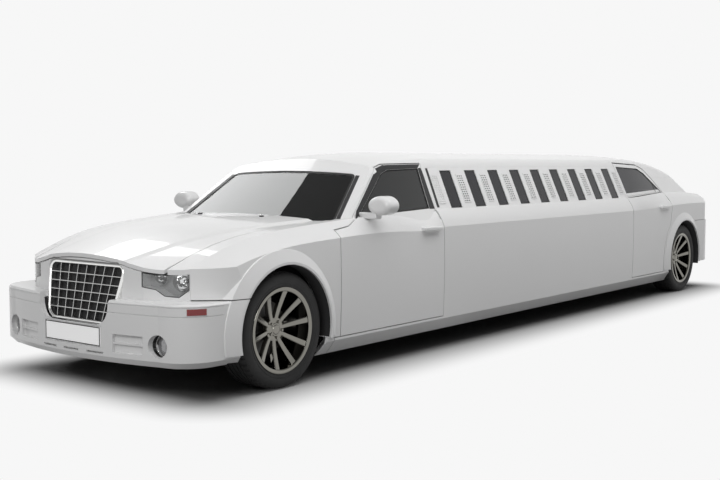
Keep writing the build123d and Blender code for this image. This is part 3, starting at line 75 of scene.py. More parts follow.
class End(Enum):
    """The car's two axles."""

    FRONT = "front"
    REAR = "rear"


class NodeBoard:
    """Node tree of one material, with the few nodes that the finishes share."""

    def __init__(self, name: str) -> None:
        """Start a material whose patterns lie on Object coordinates.

        Args:
            name: Name of the material.
        """
        self.material = bpy.data.materials.new(name)
        self.material.use_nodes = True
        self.tree = self.material.node_tree
        self.shader = self.tree.nodes["Principled BSDF"]
        self.output = self.tree.nodes["Material Output"]
        self.place = self.add("ShaderNodeTexCoord").outputs["Object"]

    def add(self, kind: str, **settings: object) -> bpy.types.Node:
        """Add a node.

        Args:
            kind: Blender's name of the node type.
            settings: Properties to set on it.

        Returns:
            The new node.
        """
        node = self.tree.nodes.new(kind)
        for key, value in settings.items():
            setattr(node, key, value)
        return node

    def link(self, source: Socket, target: Socket) -> None:
        """Join two sockets."""
        self.tree.links.new(source, target)

    def noise(self, scale: float, detail: float = 3.0) -> Socket:
        """Cloudy pattern between 0 and 1.

        Args:
            scale: Patches to the metre.
            detail: Octaves of finer pattern.

        Returns:
            The pattern's value socket.
        """
        node = self.add("ShaderNodeTexNoise")
        node.inputs["Scale"].default_value = scale
        node.inputs["Detail"].default_value = detail
        self.link(self.place, node.inputs["Vector"])
        return node.outputs["Fac"]

    def cells(self, scale: float) -> Socket:
        """Pebbled pattern of rounded cells.

        Args:
            scale: Cells to the metre.

        Returns:
            The distance socket of the cells.
        """
        node = self.add("ShaderNodeTexVoronoi")
        node.inputs["Scale"].default_value = scale
        self.link(self.place, node.inputs["Vector"])
        return node.outputs["Distance"]

    def spread(self, source: Socket, low: float, high: float) -> Socket:
        """Stretch a cloudy pattern between two values.

        Args:
            source: Pattern to stretch.
            low: Value where the pattern is weak.
            high: Value where it is strong.

        Returns:
            The stretched value.
        """
        node = self.add("ShaderNodeMapRange")
        node.inputs["From Min"].default_value = 0.3
        node.inputs["From Max"].default_value = 0.7
        node.inputs["To Min"].default_value = low
        node.inputs["To Max"].default_value = high
        self.link(source, node.inputs["Value"])
        return node.outputs["Result"]

    def tint(self, source: Socket, first: Colour, second: Colour) -> Socket:
        """Run a pattern between two colours.

        Args:
            source: Pattern between 0 and 1.
            first: Colour where it is 0.
            second: Colour where it is 1.

        Returns:
            The colour socket.
        """
        node = self.add("ShaderNodeMix", data_type="RGBA")
        for socket in node.inputs:
            if socket.type == "RGBA":
                socket.default_value = (*(first if socket.name == "A" else second), 1.0)
        self.link(source, node.inputs[0])
        return [socket for socket in node.outputs if socket.type == "RGBA"][0]

    def bump(self, height: Socket, depth: float, normal: Socket | None = None) -> Socket:
        """Raise a pattern out of the surface.

        Args:
            height: Pattern to raise.
            depth: Height of the relief in metres.
            normal: Surface direction to start from.

        Returns:
            The bent surface direction.
        """
        node = self.add("ShaderNodeBump")
        node.inputs["Distance"].default_value = depth
        self.link(height, node.inputs["Height"])
        if normal is not None:
            self.link(normal, node.inputs["Normal"])
        return node.outputs["Normal"]

    def soft_edges(self, radius: float) -> Socket:
        """Surface direction with its folded edges rounded.

        Args:
            radius: Radius of the rounding in metres.

        Returns:
            The direction socket.
        """
        node = self.add("ShaderNodeBevel", samples=4)
        node.inputs["Radius"].default_value = radius
        return node.outputs["Normal"]


@dataclass(frozen=True)
class Finish:
    """A solid surface: its colour, gloss, mottling and fine grain."""

    name: str
    colour: Colour
    roughness: float
    metallic: float = 0.0
    coat: float = 0.0
    coat_rough: float = 0.03
    shade: float = 0.93
    mottle: float = 4.0
    rough_spread: float = 0.04
    grain: float = 0.0
    grain_scale: float = 400.0
    pebbled: bool = False
    edge: float = 0.0
    glow: float = 0.0

    def material(self) -> bpy.types.Material:
        """The finish as a material, made once.

        Returns:
            The material.
        """
        found = bpy.data.materials.get(self.name)
        if found is not None:
            return found
        board = NodeBoard(self.name)
        shader = board.shader.inputs
        darker = tuple(part * self.shade for part in self.colour)
        board.link(board.tint(board.noise(self.mottle), darker, self.colour), shader["Base Color"])
        low = max(self.roughness - self.rough_spread, 0.01)
        high = self.roughness + self.rough_spread
        board.link(board.spread(board.noise(self.mottle * 3), low, high), shader["Roughness"])
        shader["Metallic"].default_value = self.metallic
        shader["Coat Weight"].default_value = self.coat
        shader["Coat Roughness"].default_value = self.coat_rough
        normal = board.soft_edges(self.edge) if self.edge else None
        if self.grain:
            pattern = board.cells(self.grain_scale) if self.pebbled else board.noise(self.grain_scale, 2.0)
            normal = board.bump(pattern, self.grain, normal)
        if normal is not None:
            board.link(normal, shader["Normal"])
        if self.glow:
            shader["Emission Color"].default_value = (*self.colour, 1.0)
            shader["Emission Strength"].default_value = self.glow
        return board.material


@dataclass(frozen=True)
class GlassFinish:
    """Clear or tinted pane: what passes through it and how it mirrors."""

    name: str
    tint: Colour
    sheen: Colour
    cover: float
    shine: float = 1.5
    mottle: float = 6.0
    rough: tuple[float, float] = (0.01, 0.03)

    def material(self) -> bpy.types.Material:
        """The pane as a material, made once.

        Returns:
            The material.
        """
        found = bpy.data.materials.get(self.name)
        if found is not None:
            return found
        board = NodeBoard(self.name)
        shader = board.shader.inputs
        shader["Base Color"].default_value = (*self.sheen, 1.0)
        shader["Metallic"].default_value = 1.0
        board.link(board.spread(board.noise(self.mottle), *self.rough), shader["Roughness"])
        clear = board.add("ShaderNodeBsdfTransparent")
        clear.inputs["Color"].default_value = (*self.tint, 1.0)
        fresnel = board.add("ShaderNodeFresnel")
        fresnel.inputs["IOR"].default_value = self.shine
        share = board.add("ShaderNodeMapRange")
        share.inputs["To Min"].default_value = self.cover
        board.link(fresnel.outputs["Fac"], share.inputs["Value"])
        blend = board.add("ShaderNodeMixShader")
        board.link(share.outputs["Result"], blend.inputs["Fac"])
        board.link(clear.outputs["BSDF"], blend.inputs[1])
        board.link(board.shader.outputs["BSDF"], blend.inputs[2])
        board.link(blend.outputs["Shader"], board.output.inputs["Surface"])
        return board.material


AnyFinish = Finish | GlassFinish

PAINT = Finish("gloss_white_paint", (0.80, 0.80, 0.80), 0.36, coat=0.5, shade=0.99, mottle=1.5, edge=0.003)
UNDERSEAL = Finish("underseal", (0.025, 0.025, 0.026), 0.75, grain=0.0015, grain_scale=260.0, shade=0.7)
CHROME = Finish("bright_chrome", (0.86, 0.86, 0.85), 0.06, metallic=1.0, rough_spread=0.02, edge=0.002)
SMOKED = Finish("smoked_chrome", (0.235, 0.228, 0.205), 0.10, metallic=1.0, rough_spread=0.05, edge=0.0015)
LAMP_HOUSING = Finish("lamp_housing", (0.40, 0.40, 0.405), 0.35, grain=0.0004, grain_scale=700.0)
REFLECTOR = Finish("lamp_reflector", (0.92, 0.92, 0.92), 0.05, metallic=1.0, rough_spread=0.02)
RED_LENS = Finish("red_lamp_lens", (0.30, 0.006, 0.008), 0.12, coat=0.4, shade=0.6, mottle=90.0)
STEEL = Finish("turned_steel", (0.46, 0.45, 0.44), 0.32, metallic=1.0, shade=0.8, rough_spread=0.12)
DISC_IRON = Finish("brake_disc_iron", (0.13, 0.128, 0.125), 0.38, metallic=1.0, shade=0.7, rough_spread=0.1)
CAST = Finish("cast_iron", (0.09, 0.09, 0.092), 0.62, metallic=0.6, grain=0.0012, grain_scale=180.0)
TRIM = Finish("black_trim", (0.022, 0.022, 0.023), 0.42, grain=0.0003, grain_scale=900.0, edge=0.0015)
RUBBER = Finish("window_rubber", (0.014, 0.014, 0.014), 0.5, shade=0.8)
DASH = Finish(
    "dash_vinyl", (0.030, 0.030, 0.031), 0.55, grain=0.0006, grain_scale=500.0, pebbled=True, edge=0.006
)
LEATHER = Finish("seat_leather", (0.09, 0.088, 0.086), 0.48, grain=0.0008, grain_scale=340.0, pebbled=True)
TYRE = Finish("tyre_rubber", (0.012, 0.012, 0.012), 0.72, shade=0.75, grain=0.0005, grain_scale=500.0)
# The number plate glows a little: painted light that lifts the recessed plate out of its shade.
PLATE_PAINTED_GLOW = Finish("plate_enamel", (0.95, 0.95, 0.95), 0.3, coat=0.6, shade=0.98, glow=0.22)
LINING = Finish("cabin_lining", (0.045, 0.045, 0.046), 0.92, grain=0.0008, grain_scale=900.0, shade=0.85)
RADIATOR = Finish("radiator_mesh", (0.02, 0.02, 0.021), 0.6, grain=0.004, grain_scale=150.0, pebbled=True)
BARS = Finish("grille_bar_chrome", (0.52, 0.52, 0.515), 0.2, metallic=1.0, rough_spread=0.05, edge=0.001)
FOG_LENS = Finish(
    "fog_lamp_lens", (0.34, 0.34, 0.35), 0.14, metallic=0.7, coat=1.0, shade=0.45, mottle=60.0
)
MIRROR = Finish("mirror_silver", (0.88, 0.89, 0.9), 0.03, metallic=1.0, rough_spread=0.01)
SCREEN_GLASS = GlassFinish("windscreen_glass", (0.84, 0.87, 0.86), (0.90, 0.91, 0.91), 0.03)
DOOR_GLASS = GlassFinish("tinted_glass", (0.36, 0.38, 0.375), (0.88, 0.89, 0.89), 0.07)
DARK_GLASS = GlassFinish("dark_glass", (0.12, 0.125, 0.125), (0.84, 0.85, 0.86), 0.10)
LENS = GlassFinish("clear_lens", (0.96, 0.965, 0.965), (0.9, 0.9, 0.9), 0.02)


def build_piece(
    bm: Mesh,
    name: str,
    body: str,
    finish: AnyFinish,
    stands_for: Sequence[str] = (),
    crease: float = 35.0,
) -> bpy.types.Object:
    """Turn a finished bmesh into a piece that rides a body.

    Args:
        bm: Mesh in the row frame; it is freed here.
        name: Name of the piece.
        body: CAD body that carries it.
        finish: Surface finish.
        stands_for: CAD nodes that it replaces.
        crease: Angle in degrees past which an edge stays sharp.

    Returns:
        The new object.
    """
    mesh = bpy.data.meshes.new(name)
    bm.to_mesh(mesh)
    bm.free()
    mesh.shade_smooth()
    mesh.set_sharp_from_angle(angle=math.radians(crease))
    obj = bpy.data.objects.new(name, mesh)
    bpy.context.scene.collection.objects.link(obj)
    mesh.materials.append(finish.material())
    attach(obj, body)
    if stands_for:
        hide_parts(*stands_for)
    LOG.info("%s rides %s, %d faces", name, body, len(mesh.polygons))
    return obj


def verts_of(items: Iterable[object]) -> list[Vert]:
    """The vertices among some mesh items."""
    return [item for item in items if isinstance(item, Vert)]


def edges_of(items: Iterable[object]) -> list[Edge]:
    """The edges among some mesh items."""
    return [item for item in items if isinstance(item, Edge)]


def profile_edges(bm: Mesh, points: Iterable[Point], closed: bool) -> list:
    """Put a run of points and their edges into a bmesh.

    Args:
        bm: Mesh to add to.
        points: Places of the run.
        closed: True to join the last point to the first.

    Returns:
        The new vertices and edges.
    """
    verts = [bm.verts.new(point) for point in points]
    edges = [bm.edges.new(pair) for pair in zip(verts, verts[1:])]
    if closed:
        edges.append(bm.edges.new((verts[-1], verts[0])))
    return [*verts, *edges]


def turn_profile(
    bm: Mesh,
    points: Sequence[tuple[float, float]],
    centre: Vector,
    axis: Vector,
    steps: int,
    closed: bool = False,
) -> None:
    """Spin a (radius, along) profile about an axis.

    Args:
        bm: Mesh to add to.
        points: Profile, with the radius first.
        centre: Point on the axis where along is 0.
        axis: Direction of the axis.
        steps: Steps round.
        closed: True where the profile is a ring.
    """
    out = axis.orthogonal().normalized()
    places = [centre + out * radius + axis * along for radius, along in points]
    geom = profile_edges(bm, places, closed)
    bmesh.ops.spin(
        bm,
        geom=geom,
        cent=centre,
        axis=axis,
        angle=math.tau,
        steps=steps,
        use_merge=True,
        use_duplicate=False,
    )
    bmesh.ops.remove_doubles(bm, verts=bm.verts, dist=1e-5)
    bmesh.ops.recalc_face_normals(bm, faces=bm.faces)


def node_mesh(node: str) -> Mesh:
    """A merged copy of a CAD node's mesh.

    Args:
        node: Name of the node.

    Returns:
        The copy, joined along its edges.
    """
    bm = bmesh.new()
    bm.from_mesh(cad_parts[node].data)
    bmesh.ops.remove_doubles(bm, verts=bm.verts, dist=WELD)
    return bm


@dataclass(frozen=True)
class Softbox:
    """One rectangular soft lamp: its place, aim, face, watts and reflection."""

    name: str
    place: Point
    target: Point
    width: float
    depth: float
    power: float
    mirrored: bool

    def build(self) -> None:
        """Hang the lamp and point it at its target."""
        data = bpy.data.lights.new(self.name, "AREA")
        data.shape = "RECTANGLE"
        data.size = self.width
        data.size_y = self.depth
        data.energy = self.power
        lamp = bpy.data.objects.new(self.name, data)
        bpy.context.scene.collection.objects.link(lamp)
        lamp.location = self.place
        lamp.visible_glossy = self.mirrored
        lamp.rotation_mode = "QUATERNION"
        lamp.rotation_quaternion = (Vector(self.target) - Vector(self.place)).to_track_quat("-Z", "Y")


@dataclass
class Studio:
    """Floor painted darker round the car, soft boxes and the camera at the photograph's angle."""

    eye: Point = (8.0105, 5.2865, 1.3878)
    yaw: float = 218.2401
    pitch: float = -4.1511
    focal_px: float = 1065.30
    image_width_px: float = 720.0
    sensor: float = 36.0
    backdrop: float = 0.93
    ceiling: float = 0.25
    fill: float = 0.06
    floor_bounce: float = 0.20
    # Dark floor colour near the car: a painted shadow round its footprint.
    floor_pale: float = 0.32
    shadow_length: float = 3.70
    shadow_width: float = 0.80
    shadow_fade: float = 0.62
    floor_reach: float = 90.0
    floor_rough: float = 0.9
    view_reach: float = 300.0
    horizon: float = 0.22
    zenith: float = 0.70
    boxes: tuple[Softbox, ...] = (
        Softbox("overhead_box", (0.2, 2.6, 6.0), (0.2, 0.0, 0.6), 11.0, 4.0, 400.0, False),
        Softbox("front_box", (8.8, 2.2, 4.4), (3.6, 0.0, 0.5), 4.0, 3.0, 185.0, True),
        Softbox("far_side_box", (1.1, -5.0, 5.3), (2.2, 0.0, 1.1), 2.4, 2.6, 74.0, True),
    )

    def build(self) -> None:
        """Make the camera, the light and the floor."""
        self.camera()
        self.world()
        self.floor()
        for box in self.boxes:
            box.build()
        bpy.context.scene.view_settings.view_transform = "Standard"

    def camera(self) -> None:
        """Camera at the photograph's place."""
        data = bpy.data.cameras.new("studio_camera")
        data.sensor_width = self.sensor
        data.lens = self.focal_px / self.image_width_px * self.sensor
        data.clip_end = self.view_reach
        camera = bpy.data.objects.new("studio_camera", data)
        bpy.context.scene.collection.objects.link(camera)
        yaw = math.radians(self.yaw)
        pitch = math.radians(self.pitch)
        level = math.cos(pitch)
        ahead = Vector((math.cos(yaw) * level, math.sin(yaw) * level, math.sin(pitch)))
        camera.location = self.eye
        camera.rotation_mode = "QUATERNION"
        camera.rotation_quaternion = ahead.to_track_quat("-Z", "Y")
        bpy.context.scene.camera = camera

    def world(self) -> None:
        """Pale backdrop to the camera and mirrors, a weaker fill to the rest."""
        world = bpy.data.worlds.new("studio_world")
        bpy.context.scene.world = world
        world.use_nodes = True
        tree = world.node_tree
        light = tree.nodes["Background"]
        light.inputs["Color"].default_value = (1.0, 1.0, 1.0, 1.0)
        light.inputs["Strength"].default_value = self.fill
        seen = tree.nodes.new("ShaderNodeBackground")
        seen.inputs["Color"].default_value = (1.0, 1.0, 1.0, 1.0)
        place = tree.nodes.new("ShaderNodeTexCoord")
        parts = tree.nodes.new("ShaderNodeSeparateXYZ")
        tree.links.new(place.outputs["Generated"], parts.inputs["Vector"])
        dim = tree.nodes.new("ShaderNodeMapRange")
        dim.inputs["From Min"].default_value = self.horizon
        dim.inputs["From Max"].default_value = self.zenith
        dim.inputs["To Min"].default_value = self.backdrop
        dim.inputs["To Max"].default_value = self.ceiling
        tree.links.new(parts.outputs["Z"], dim.inputs["Value"])
        tree.links.new(dim.outputs["Result"], seen.inputs["Strength"])
        path = tree.nodes.new("ShaderNodeLightPath")
        first = tree.nodes.new("ShaderNodeMath")
        first.operation = "MAXIMUM"
        tree.links.new(path.outputs["Is Camera Ray"], first.inputs[0])
        tree.links.new(path.outputs["Is Glossy Ray"], first.inputs[1])
        second = tree.nodes.new("ShaderNodeMath")
        second.operation = "MAXIMUM"
        tree.links.new(first.outputs["Value"], second.inputs[0])
        tree.links.new(path.outputs["Is Transmission Ray"], second.inputs[1])
        blend = tree.nodes.new("ShaderNodeMixShader")
        tree.links.new(second.outputs["Value"], blend.inputs["Fac"])
        tree.links.new(light.outputs["Background"], blend.inputs[1])
        tree.links.new(seen.outputs["Background"], blend.inputs[2])
        tree.links.new(blend.outputs["Shader"], tree.nodes["World Output"].inputs["Surface"])

    def floor(self) -> None:
        """Floor painted dark near the car as a shadow, over the shadow the lamps cast, running into the
        pale backdrop far from the car.
        """
        bm = bmesh.new()
        bmesh.ops.create_grid(bm, x_segments=1, y_segments=1, size=self.floor_reach)
        mesh = bpy.data.meshes.new("studio_floor")
        bm.to_mesh(mesh)
        bm.free()
        floor = bpy.data.objects.new("studio_floor", mesh)
        bpy.context.scene.collection.objects.link(floor)
        board = NodeBoard("studio_floor")
        path = board.add("ShaderNodeLightPath")
        # Near the car the floor's colour is dark, a painted shadow on top of the real cast shadow.
        shadow_tone = (self.floor_pale, self.floor_pale, self.floor_pale)
        dull = (self.floor_bounce, self.floor_bounce, self.floor_bounce)
        shown = board.tint(path.outputs["Is Diffuse Ray"], shadow_tone, dull)
        board.link(shown, board.shader.inputs["Base Color"])
        board.shader.inputs["Roughness"].default_value = self.floor_rough
        board.shader.inputs["Specular IOR Level"].default_value = 0.0
        far = board.add("ShaderNodeEmission")
        far.inputs["Color"].default_value = (1.0, 1.0, 1.0, 1.0)
        weaker = board.add("ShaderNodeMapRange")
        weaker.inputs["To Min"].default_value = self.backdrop
        weaker.inputs["To Max"].default_value = self.floor_bounce
        board.link(path.outputs["Is Diffuse Ray"], weaker.inputs["Value"])
        board.link(weaker.outputs["Result"], far.inputs["Strength"])
        # Distance from the car's footprint, over which the painted shadow fades into the backdrop's
        # emission.
        reach = board.add("ShaderNodeVectorMath", operation="ABSOLUTE")
        board.link(board.place, reach.inputs[0])
        beyond = board.add("ShaderNodeVectorMath", operation="SUBTRACT")
        beyond.inputs[1].default_value = (self.shadow_length, self.shadow_width, 0.0)
        board.link(reach.outputs["Vector"], beyond.inputs[0])
        outside = board.add("ShaderNodeVectorMath", operation="MAXIMUM")
        board.link(beyond.outputs["Vector"], outside.inputs[0])
        distance = board.add("ShaderNodeVectorMath", operation="LENGTH")
        board.link(outside.outputs["Vector"], distance.inputs[0])
        fade = board.add("ShaderNodeMapRange", interpolation_type="SMOOTHSTEP")
        fade.inputs["From Max"].default_value = self.shadow_fade
        board.link(distance.outputs["Value"], fade.inputs["Value"])
        blend = board.add("ShaderNodeMixShader")
        board.link(fade.outputs["Result"], blend.inputs["Fac"])
        board.link(board.shader.outputs["BSDF"], blend.inputs[1])
        board.link(far.outputs["Emission"], blend.inputs[2])
        board.link(blend.outputs["Shader"], board.output.inputs["Surface"])
        mesh.materials.append(board.material)


@dataclass
class Coachwork:
    """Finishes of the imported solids; braces in a name stand for each end and side."""

    groups: tuple[tuple[AnyFinish, str], ...] = (
        (PAINT, "roof_panel side_panels quarter_panels front_fenders front_bumper rear_bumper"),
        (PAINT, "hood trunk_lid rear_deck louvre_panels door_{end}_{side} mirror_{side}"),
        (TRIM, "cowl_panel"),
        (UNDERSEAL, "floor_pan arch_liners"),
        (BARS, "grille_bars"),
        (LAMP_HOUSING, "headlamps"),
        (LENS, "headlamp_lenses"),
        (FOG_LENS, "fog_lamps"),
        (RED_LENS, "red_lamps"),
        (SCREEN_GLASS, "windscreen"),
        (DARK_GLASS, "rear_window slit_windows glass_rear_{side}"),
        (DOOR_GLASS, "glass_front_{side}"),
        (PLATE_PAINTED_GLOW, "number_plate"),
        (DISC_IRON, "exhaust disc_{end}_{side}"),
        (CAST, "front_subframe rear_axle engine knuckle_{side}"),
        (STEEL, "propshaft"),
        (LEATHER, "steering_wheel"),
    )

    def build(self) -> None:
        """Give each CAD node its finish."""
        corners = [{"end": end.value, "side": side.name.lower()} for end in End for side in Side]
        for finish, names in self.groups:
            for name in names.split():
                for node in dict.fromkeys(name.format(**corner) for corner in corners):
                    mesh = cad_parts[node].data
                    mesh.materials.clear()
                    mesh.materials.append(finish.material())


def node_tree(*nodes: str) -> BVHTree:
    """Search tree over the surfaces of some CAD nodes.

    Args:
        nodes: Names of the nodes.

    Returns:
        The tree, in metres of the shared frame.
    """
    bm = bmesh.new()
    for node in nodes:
        bm.from_mesh(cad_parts[node].data)
    tree = BVHTree.FromBMesh(bm)
    bm.free()
    return tree


def drape(
    bm: Mesh,
    tree: BVHTree,
    corners: Sequence[Point],
    look: Vector,
    lift: float,
    cuts: int = 6,
) -> None:
    """Lay a flat outline on a surface along one direction.

    Args:
        bm: Mesh to add to.
        tree: Surface that carries the patch.
        corners: Outline of the patch, well off the surface.
        look: Direction in which the patch falls.
        lift: Height at which it lies over the surface.
        cuts: Divisions of each side.
    """
    face = bm.faces.new([bm.verts.new(corner) for corner in corners])
    before = set(bm.verts) - set(face.verts)
    bmesh.ops.subdivide_edges(bm, edges=face.edges[:], cuts=cuts, use_grid_fill=True)
    missed = []
    falls = []
    for vert in bm.verts:
        if vert in before:
            continue
        place, _, _, fall = tree.ray_cast(vert.co, look)
        if place is None:
            missed.append(vert)
        else:
            falls.append(fall)
            vert.co = place - look * lift
    usual = sorted(falls)[len(falls) // 2]
    for vert in missed:
        vert.co = tree.find_nearest(vert.co + look * usual)[0] - look * lift


def thicken(bm: Mesh, way: Vector, wall: float) -> None:
    """Give a patch a thickness along one direction.

    Args:
        bm: Mesh of the patch.
        way: Direction of the thickness.
        wall: Thickness.
    """
    made = bmesh.ops.extrude_face_region(bm, geom=bm.faces[:])
    bmesh.ops.translate(bm, verts=verts_of(made["geom"]), vec=way * wall)
    bmesh.ops.recalc_face_normals(bm, faces=bm.faces)


def raise_skin(bm: Mesh, others: list[Face], lift: float) -> None:
    """Drop some faces of a mesh and raise the rest along their normals.

    Args:
        bm: Mesh to change.
        others: Faces that go.
        lift: Height by which the rest rise.
    """
    bmesh.ops.delete(bm, geom=others, context="FACES")
    bm.normal_update()
    for vert in bm.verts:
        vert.co += vert.normal * lift


def add_block(bm: Mesh, place: Point, size: Point, lean: float = 0.0) -> list[Vert]:
    """Add a box to a mesh.

    Args:
        bm: Mesh to add to.
        place: Middle of the box.
        size: Its three lengths.
        lean: Turn about the car's width, in degrees.

    Returns:
        The corners of the box.
    """
    turn = Matrix.Translation(place) @ Matrix.Rotation(math.radians(lean), 4, "Y")
    return bmesh.ops.create_cube(bm, size=1.0, matrix=turn @ Matrix.Diagonal((*size, 1.0)))["verts"]


def round_edges(bm: Mesh, edges: Sequence[Edge], radius: float, segments: int) -> None:
    """Round some edges of a mesh.

    Args:
        bm: Mesh to change.
        edges: Edges to round.
        radius: Reach of the rounding on both sides.
        segments: Steps of the rounding.
    """
    bmesh.ops.bevel(
        bm, geom=edges, offset=radius, segments=segments, profile=0.5, affect="EDGES", material=-1
    )


def mirror_across(bm: Mesh) -> None:
    """Copy a left-hand mesh to the car's right side."""
    bmesh.ops.mirror(bm, geom=[*bm.verts, *bm.edges, *bm.faces], axis="Y", merge_dist=-1.0)
    bmesh.ops.recalc_face_normals(bm, faces=bm.faces)


def pane_border(
    node: str,
    facing: Vector,
    width: float,
    lift: float,
    thickness: float,
    turned: float = 0.35,
) -> Mesh:
    """Band that runs round the edge of a node's panes.

    Args:
        node: CAD node of the panes.
        facing: Direction in which the panes' outer faces look.
        width: Width of the band.
        lift: Height of the band over the pane.
        thickness: Thickness of the band.
        turned: Least share of a face's normal along that direction.

    Returns:
        The band.
    """
    bm = node_mesh(node)
    others = [face for face in bm.faces if face.normal.dot(facing) < turned]
    bmesh.ops.delete(bm, geom=others, context="FACES")
    made = bmesh.ops.inset_region(
        bm, faces=bm.faces[:], thickness=width, use_boundary=True, use_even_offset=True
    )
    ring = set(made["faces"])
    raise_skin(bm, [face for face in bm.faces if face not in ring], lift)
    bmesh.ops.solidify(bm, geom=bm.faces[:], thickness=thickness)
    return bm


def along_loops(bm: Mesh, rings: Sequence[Sequence[Point]], closed: bool) -> None:
    """Bridge a run of equal rings into a skin.

    Args:
        bm: Mesh to add to.
        rings: Rings of points in order.
        closed: True to cap the first and last ring.
    """
    loops = [profile_edges(bm, ring, True) for ring in rings]
    edges = [edges_of(loop) for loop in loops]
    for first, second in zip(edges, edges[1:]):
        bmesh.ops.bridge_loops(bm, edges=[*first, *second])
    if closed:
        bmesh.ops.contextual_create(bm, geom=edges[0])
        bmesh.ops.contextual_create(bm, geom=edges[-1])


@dataclass
class Wheel:
    """One road wheel: grooved tyre, dished ten-spoke rim, cap and nuts."""

    end: End
    side: Side
    tyre_radius: float = 0.362
    groove_places: tuple[float, ...] = (0.052, 0.0175, -0.0175, -0.052)
    groove_half: float = 0.0045
    groove_depth: float = 0.007
    groove_draft: float = 0.75
    tyre_steps: int = 150
    sipe_step: int = 3
    sipe_reach: float = 0.354
    sipe_inner: float = 0.055
    sipe_edge: float = 0.003
    sipe_depth: float = 0.0045
    spokes: int = 10
    root_width: float = 0.028
    tip_width: float = 0.040
    root_reach: float = 0.060
    tip_reach: float = 0.2455
    spoke_front: float = 0.047
    spoke_dish: float = 0.056
    dish_power: float = 1.35
    spoke_depth: float = 0.036
    spoke_round: float = 0.004
    spoke_cheek: float = 0.010
    spoke_crown: float = 0.0012
    spoke_draft: float = 0.7
    spoke_shares: tuple[float, ...] = (0.0, 0.15, 0.4, 0.7, 0.9, 1.0)
    nut_circle: float = 0.053
    nuts: int = 5
    nut_seat: float = 0.052
    nut_radius: float = 0.0098
    nut_top: float = 0.0085
    nut_height: float = 0.014
    rim_steps: tuple[int, int, int] = (96, 64, 48)
    sidewall: Outline = (
        (0.2545, 0.1080), (0.2683, 0.1080), (0.2780, 0.1135), (0.2845, 0.1165), (0.2870, 0.1192),
        (0.2910, 0.1192), (0.2930, 0.1178), (0.3030, 0.1215), (0.3160, 0.1225), (0.3300, 0.1205),
        (0.3410, 0.1165), (0.3520, 0.1060), (0.3595, 0.0920), (0.3620, 0.0780),
    )
    barrel: Outline = (
        (0.2415, 0.1085), (0.2450, 0.1120), (0.2510, 0.1146), (0.2620, 0.1150), (0.2668, 0.1142),
        (0.2680, 0.1125), (0.2680, 0.1083), (0.2542, 0.1083), (0.2542, -0.1083), (0.2680, -0.1083),
        (0.2680, -0.1150), (0.2420, -0.1150), (0.2405, 0.0000),
    )
    hub: Outline = (
        (0.0310, 0.0100), (0.0740, 0.0100), (0.0780, 0.0160), (0.0780, 0.0390), (0.0745, 0.0450),
        (0.0680, 0.0480), (0.0430, 0.0500), (0.0400, 0.0535), (0.0310, 0.0540),
    )
    cap: Outline = (
        (0.0000, 0.0605), (0.0120, 0.0602), (0.0230, 0.0588), (0.0285, 0.0565), (0.0305, 0.0535),
        (0.0305, 0.0515), (0.0000, 0.0515),
    )

    def __post_init__(self) -> None:
        """Find the wheel's centre and axis from its CAD tyre."""
        self.name = f"{self.end.value}_{self.side.name.lower()}"
        low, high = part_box(f"tyre_{self.name}")
        self.centre = (Vector(low) + Vector(high)) / 2
        self.axis = Vector((0.0, self.side.value, 0.0))

    def build(self) -> None:
        """Make the tyre and the rim."""
        self.tyre()
        self.rim()

    def tyre(self) -> None:
        """Tyre with four grooves and sipes over its shoulders."""
        points = list(self.sidewall)
        for place in self.groove_places:
            floor = self.tyre_radius - self.groove_depth
            points.append((self.tyre_radius, place + self.groove_half))
            points.append((floor, place + self.groove_half * self.groove_draft))
            points.append((floor, place - self.groove_half * self.groove_draft))
            points.append((self.tyre_radius, place - self.groove_half))
        points.extend((radius, -along) for radius, along in reversed(self.sidewall))
        bm = bmesh.new()
        turn_profile(bm, points, self.centre, self.axis, self.tyre_steps, closed=True)
        step = math.tau / self.tyre_steps
        picked = []
        for face in bm.faces:
            offset = face.calc_center_median() - self.centre
            radius = math.hypot(offset.x, offset.z)
            turn = math.floor(math.atan2(offset.z, offset.x) / step + 0.25)
            on_shoulder = radius > self.sipe_reach and abs(offset.y) > self.sipe_inner
            if on_shoulder and turn % self.sipe_step == 0:
                picked.append(face)
        bmesh.ops.inset_individual(bm, faces=picked, thickness=self.sipe_edge, depth=-self.sipe_depth)
        node = f"tyre_{self.name}"
        build_piece(bm, f"{node}_rubber", f"wheel_{self.name}", TYRE, [node], 30.0)

    def spoke(self, bm: Mesh) -> None:
        """One dished spoke, copied round the hub.

        Args:
            bm: Mesh to add to.
        """
        out = self.axis.orthogonal().normalized()
        across = self.axis.cross(out)
        rings = []
        for share in self.spoke_shares:
            reach = self.root_reach + share * (self.tip_reach - self.root_reach)
            half = (self.root_width + share * (self.tip_width - self.root_width)) / 2
            front = self.spoke_front + self.spoke_dish * share**self.dish_power
            back = front - self.spoke_depth
            section = (
                (-half * self.spoke_draft, back),
                (-half, front - self.spoke_cheek),
                (-half, front - self.spoke_round),
                (-half + self.spoke_round, front),
                (0.0, front + self.spoke_crown),
                (half - self.spoke_round, front),
                (half, front - self.spoke_round),
                (half, front - self.spoke_cheek),
                (half * self.spoke_draft, back),
            )
            base = self.centre + out * reach
            rings.append([base + across * width + self.axis * depth for width, depth in section])
        before = set(bm.verts) | set(bm.edges) | set(bm.faces)
        along_loops(bm, rings, True)
        geom = [item for item in [*bm.verts, *bm.edges, *bm.faces] if item not in before]
        turn = math.tau * (self.spokes - 1) / self.spokes
        bmesh.ops.rotate(
            bm,
            cent=self.centre,
            matrix=Matrix.Rotation(math.pi / self.spokes, 3, "Y"),
            verts=verts_of(geom),
        )
        bmesh.ops.spin(
            bm,
            geom=geom,
            cent=self.centre,
            axis=self.axis,
            angle=turn,
            steps=self.spokes - 1,
            use_duplicate=True,
        )

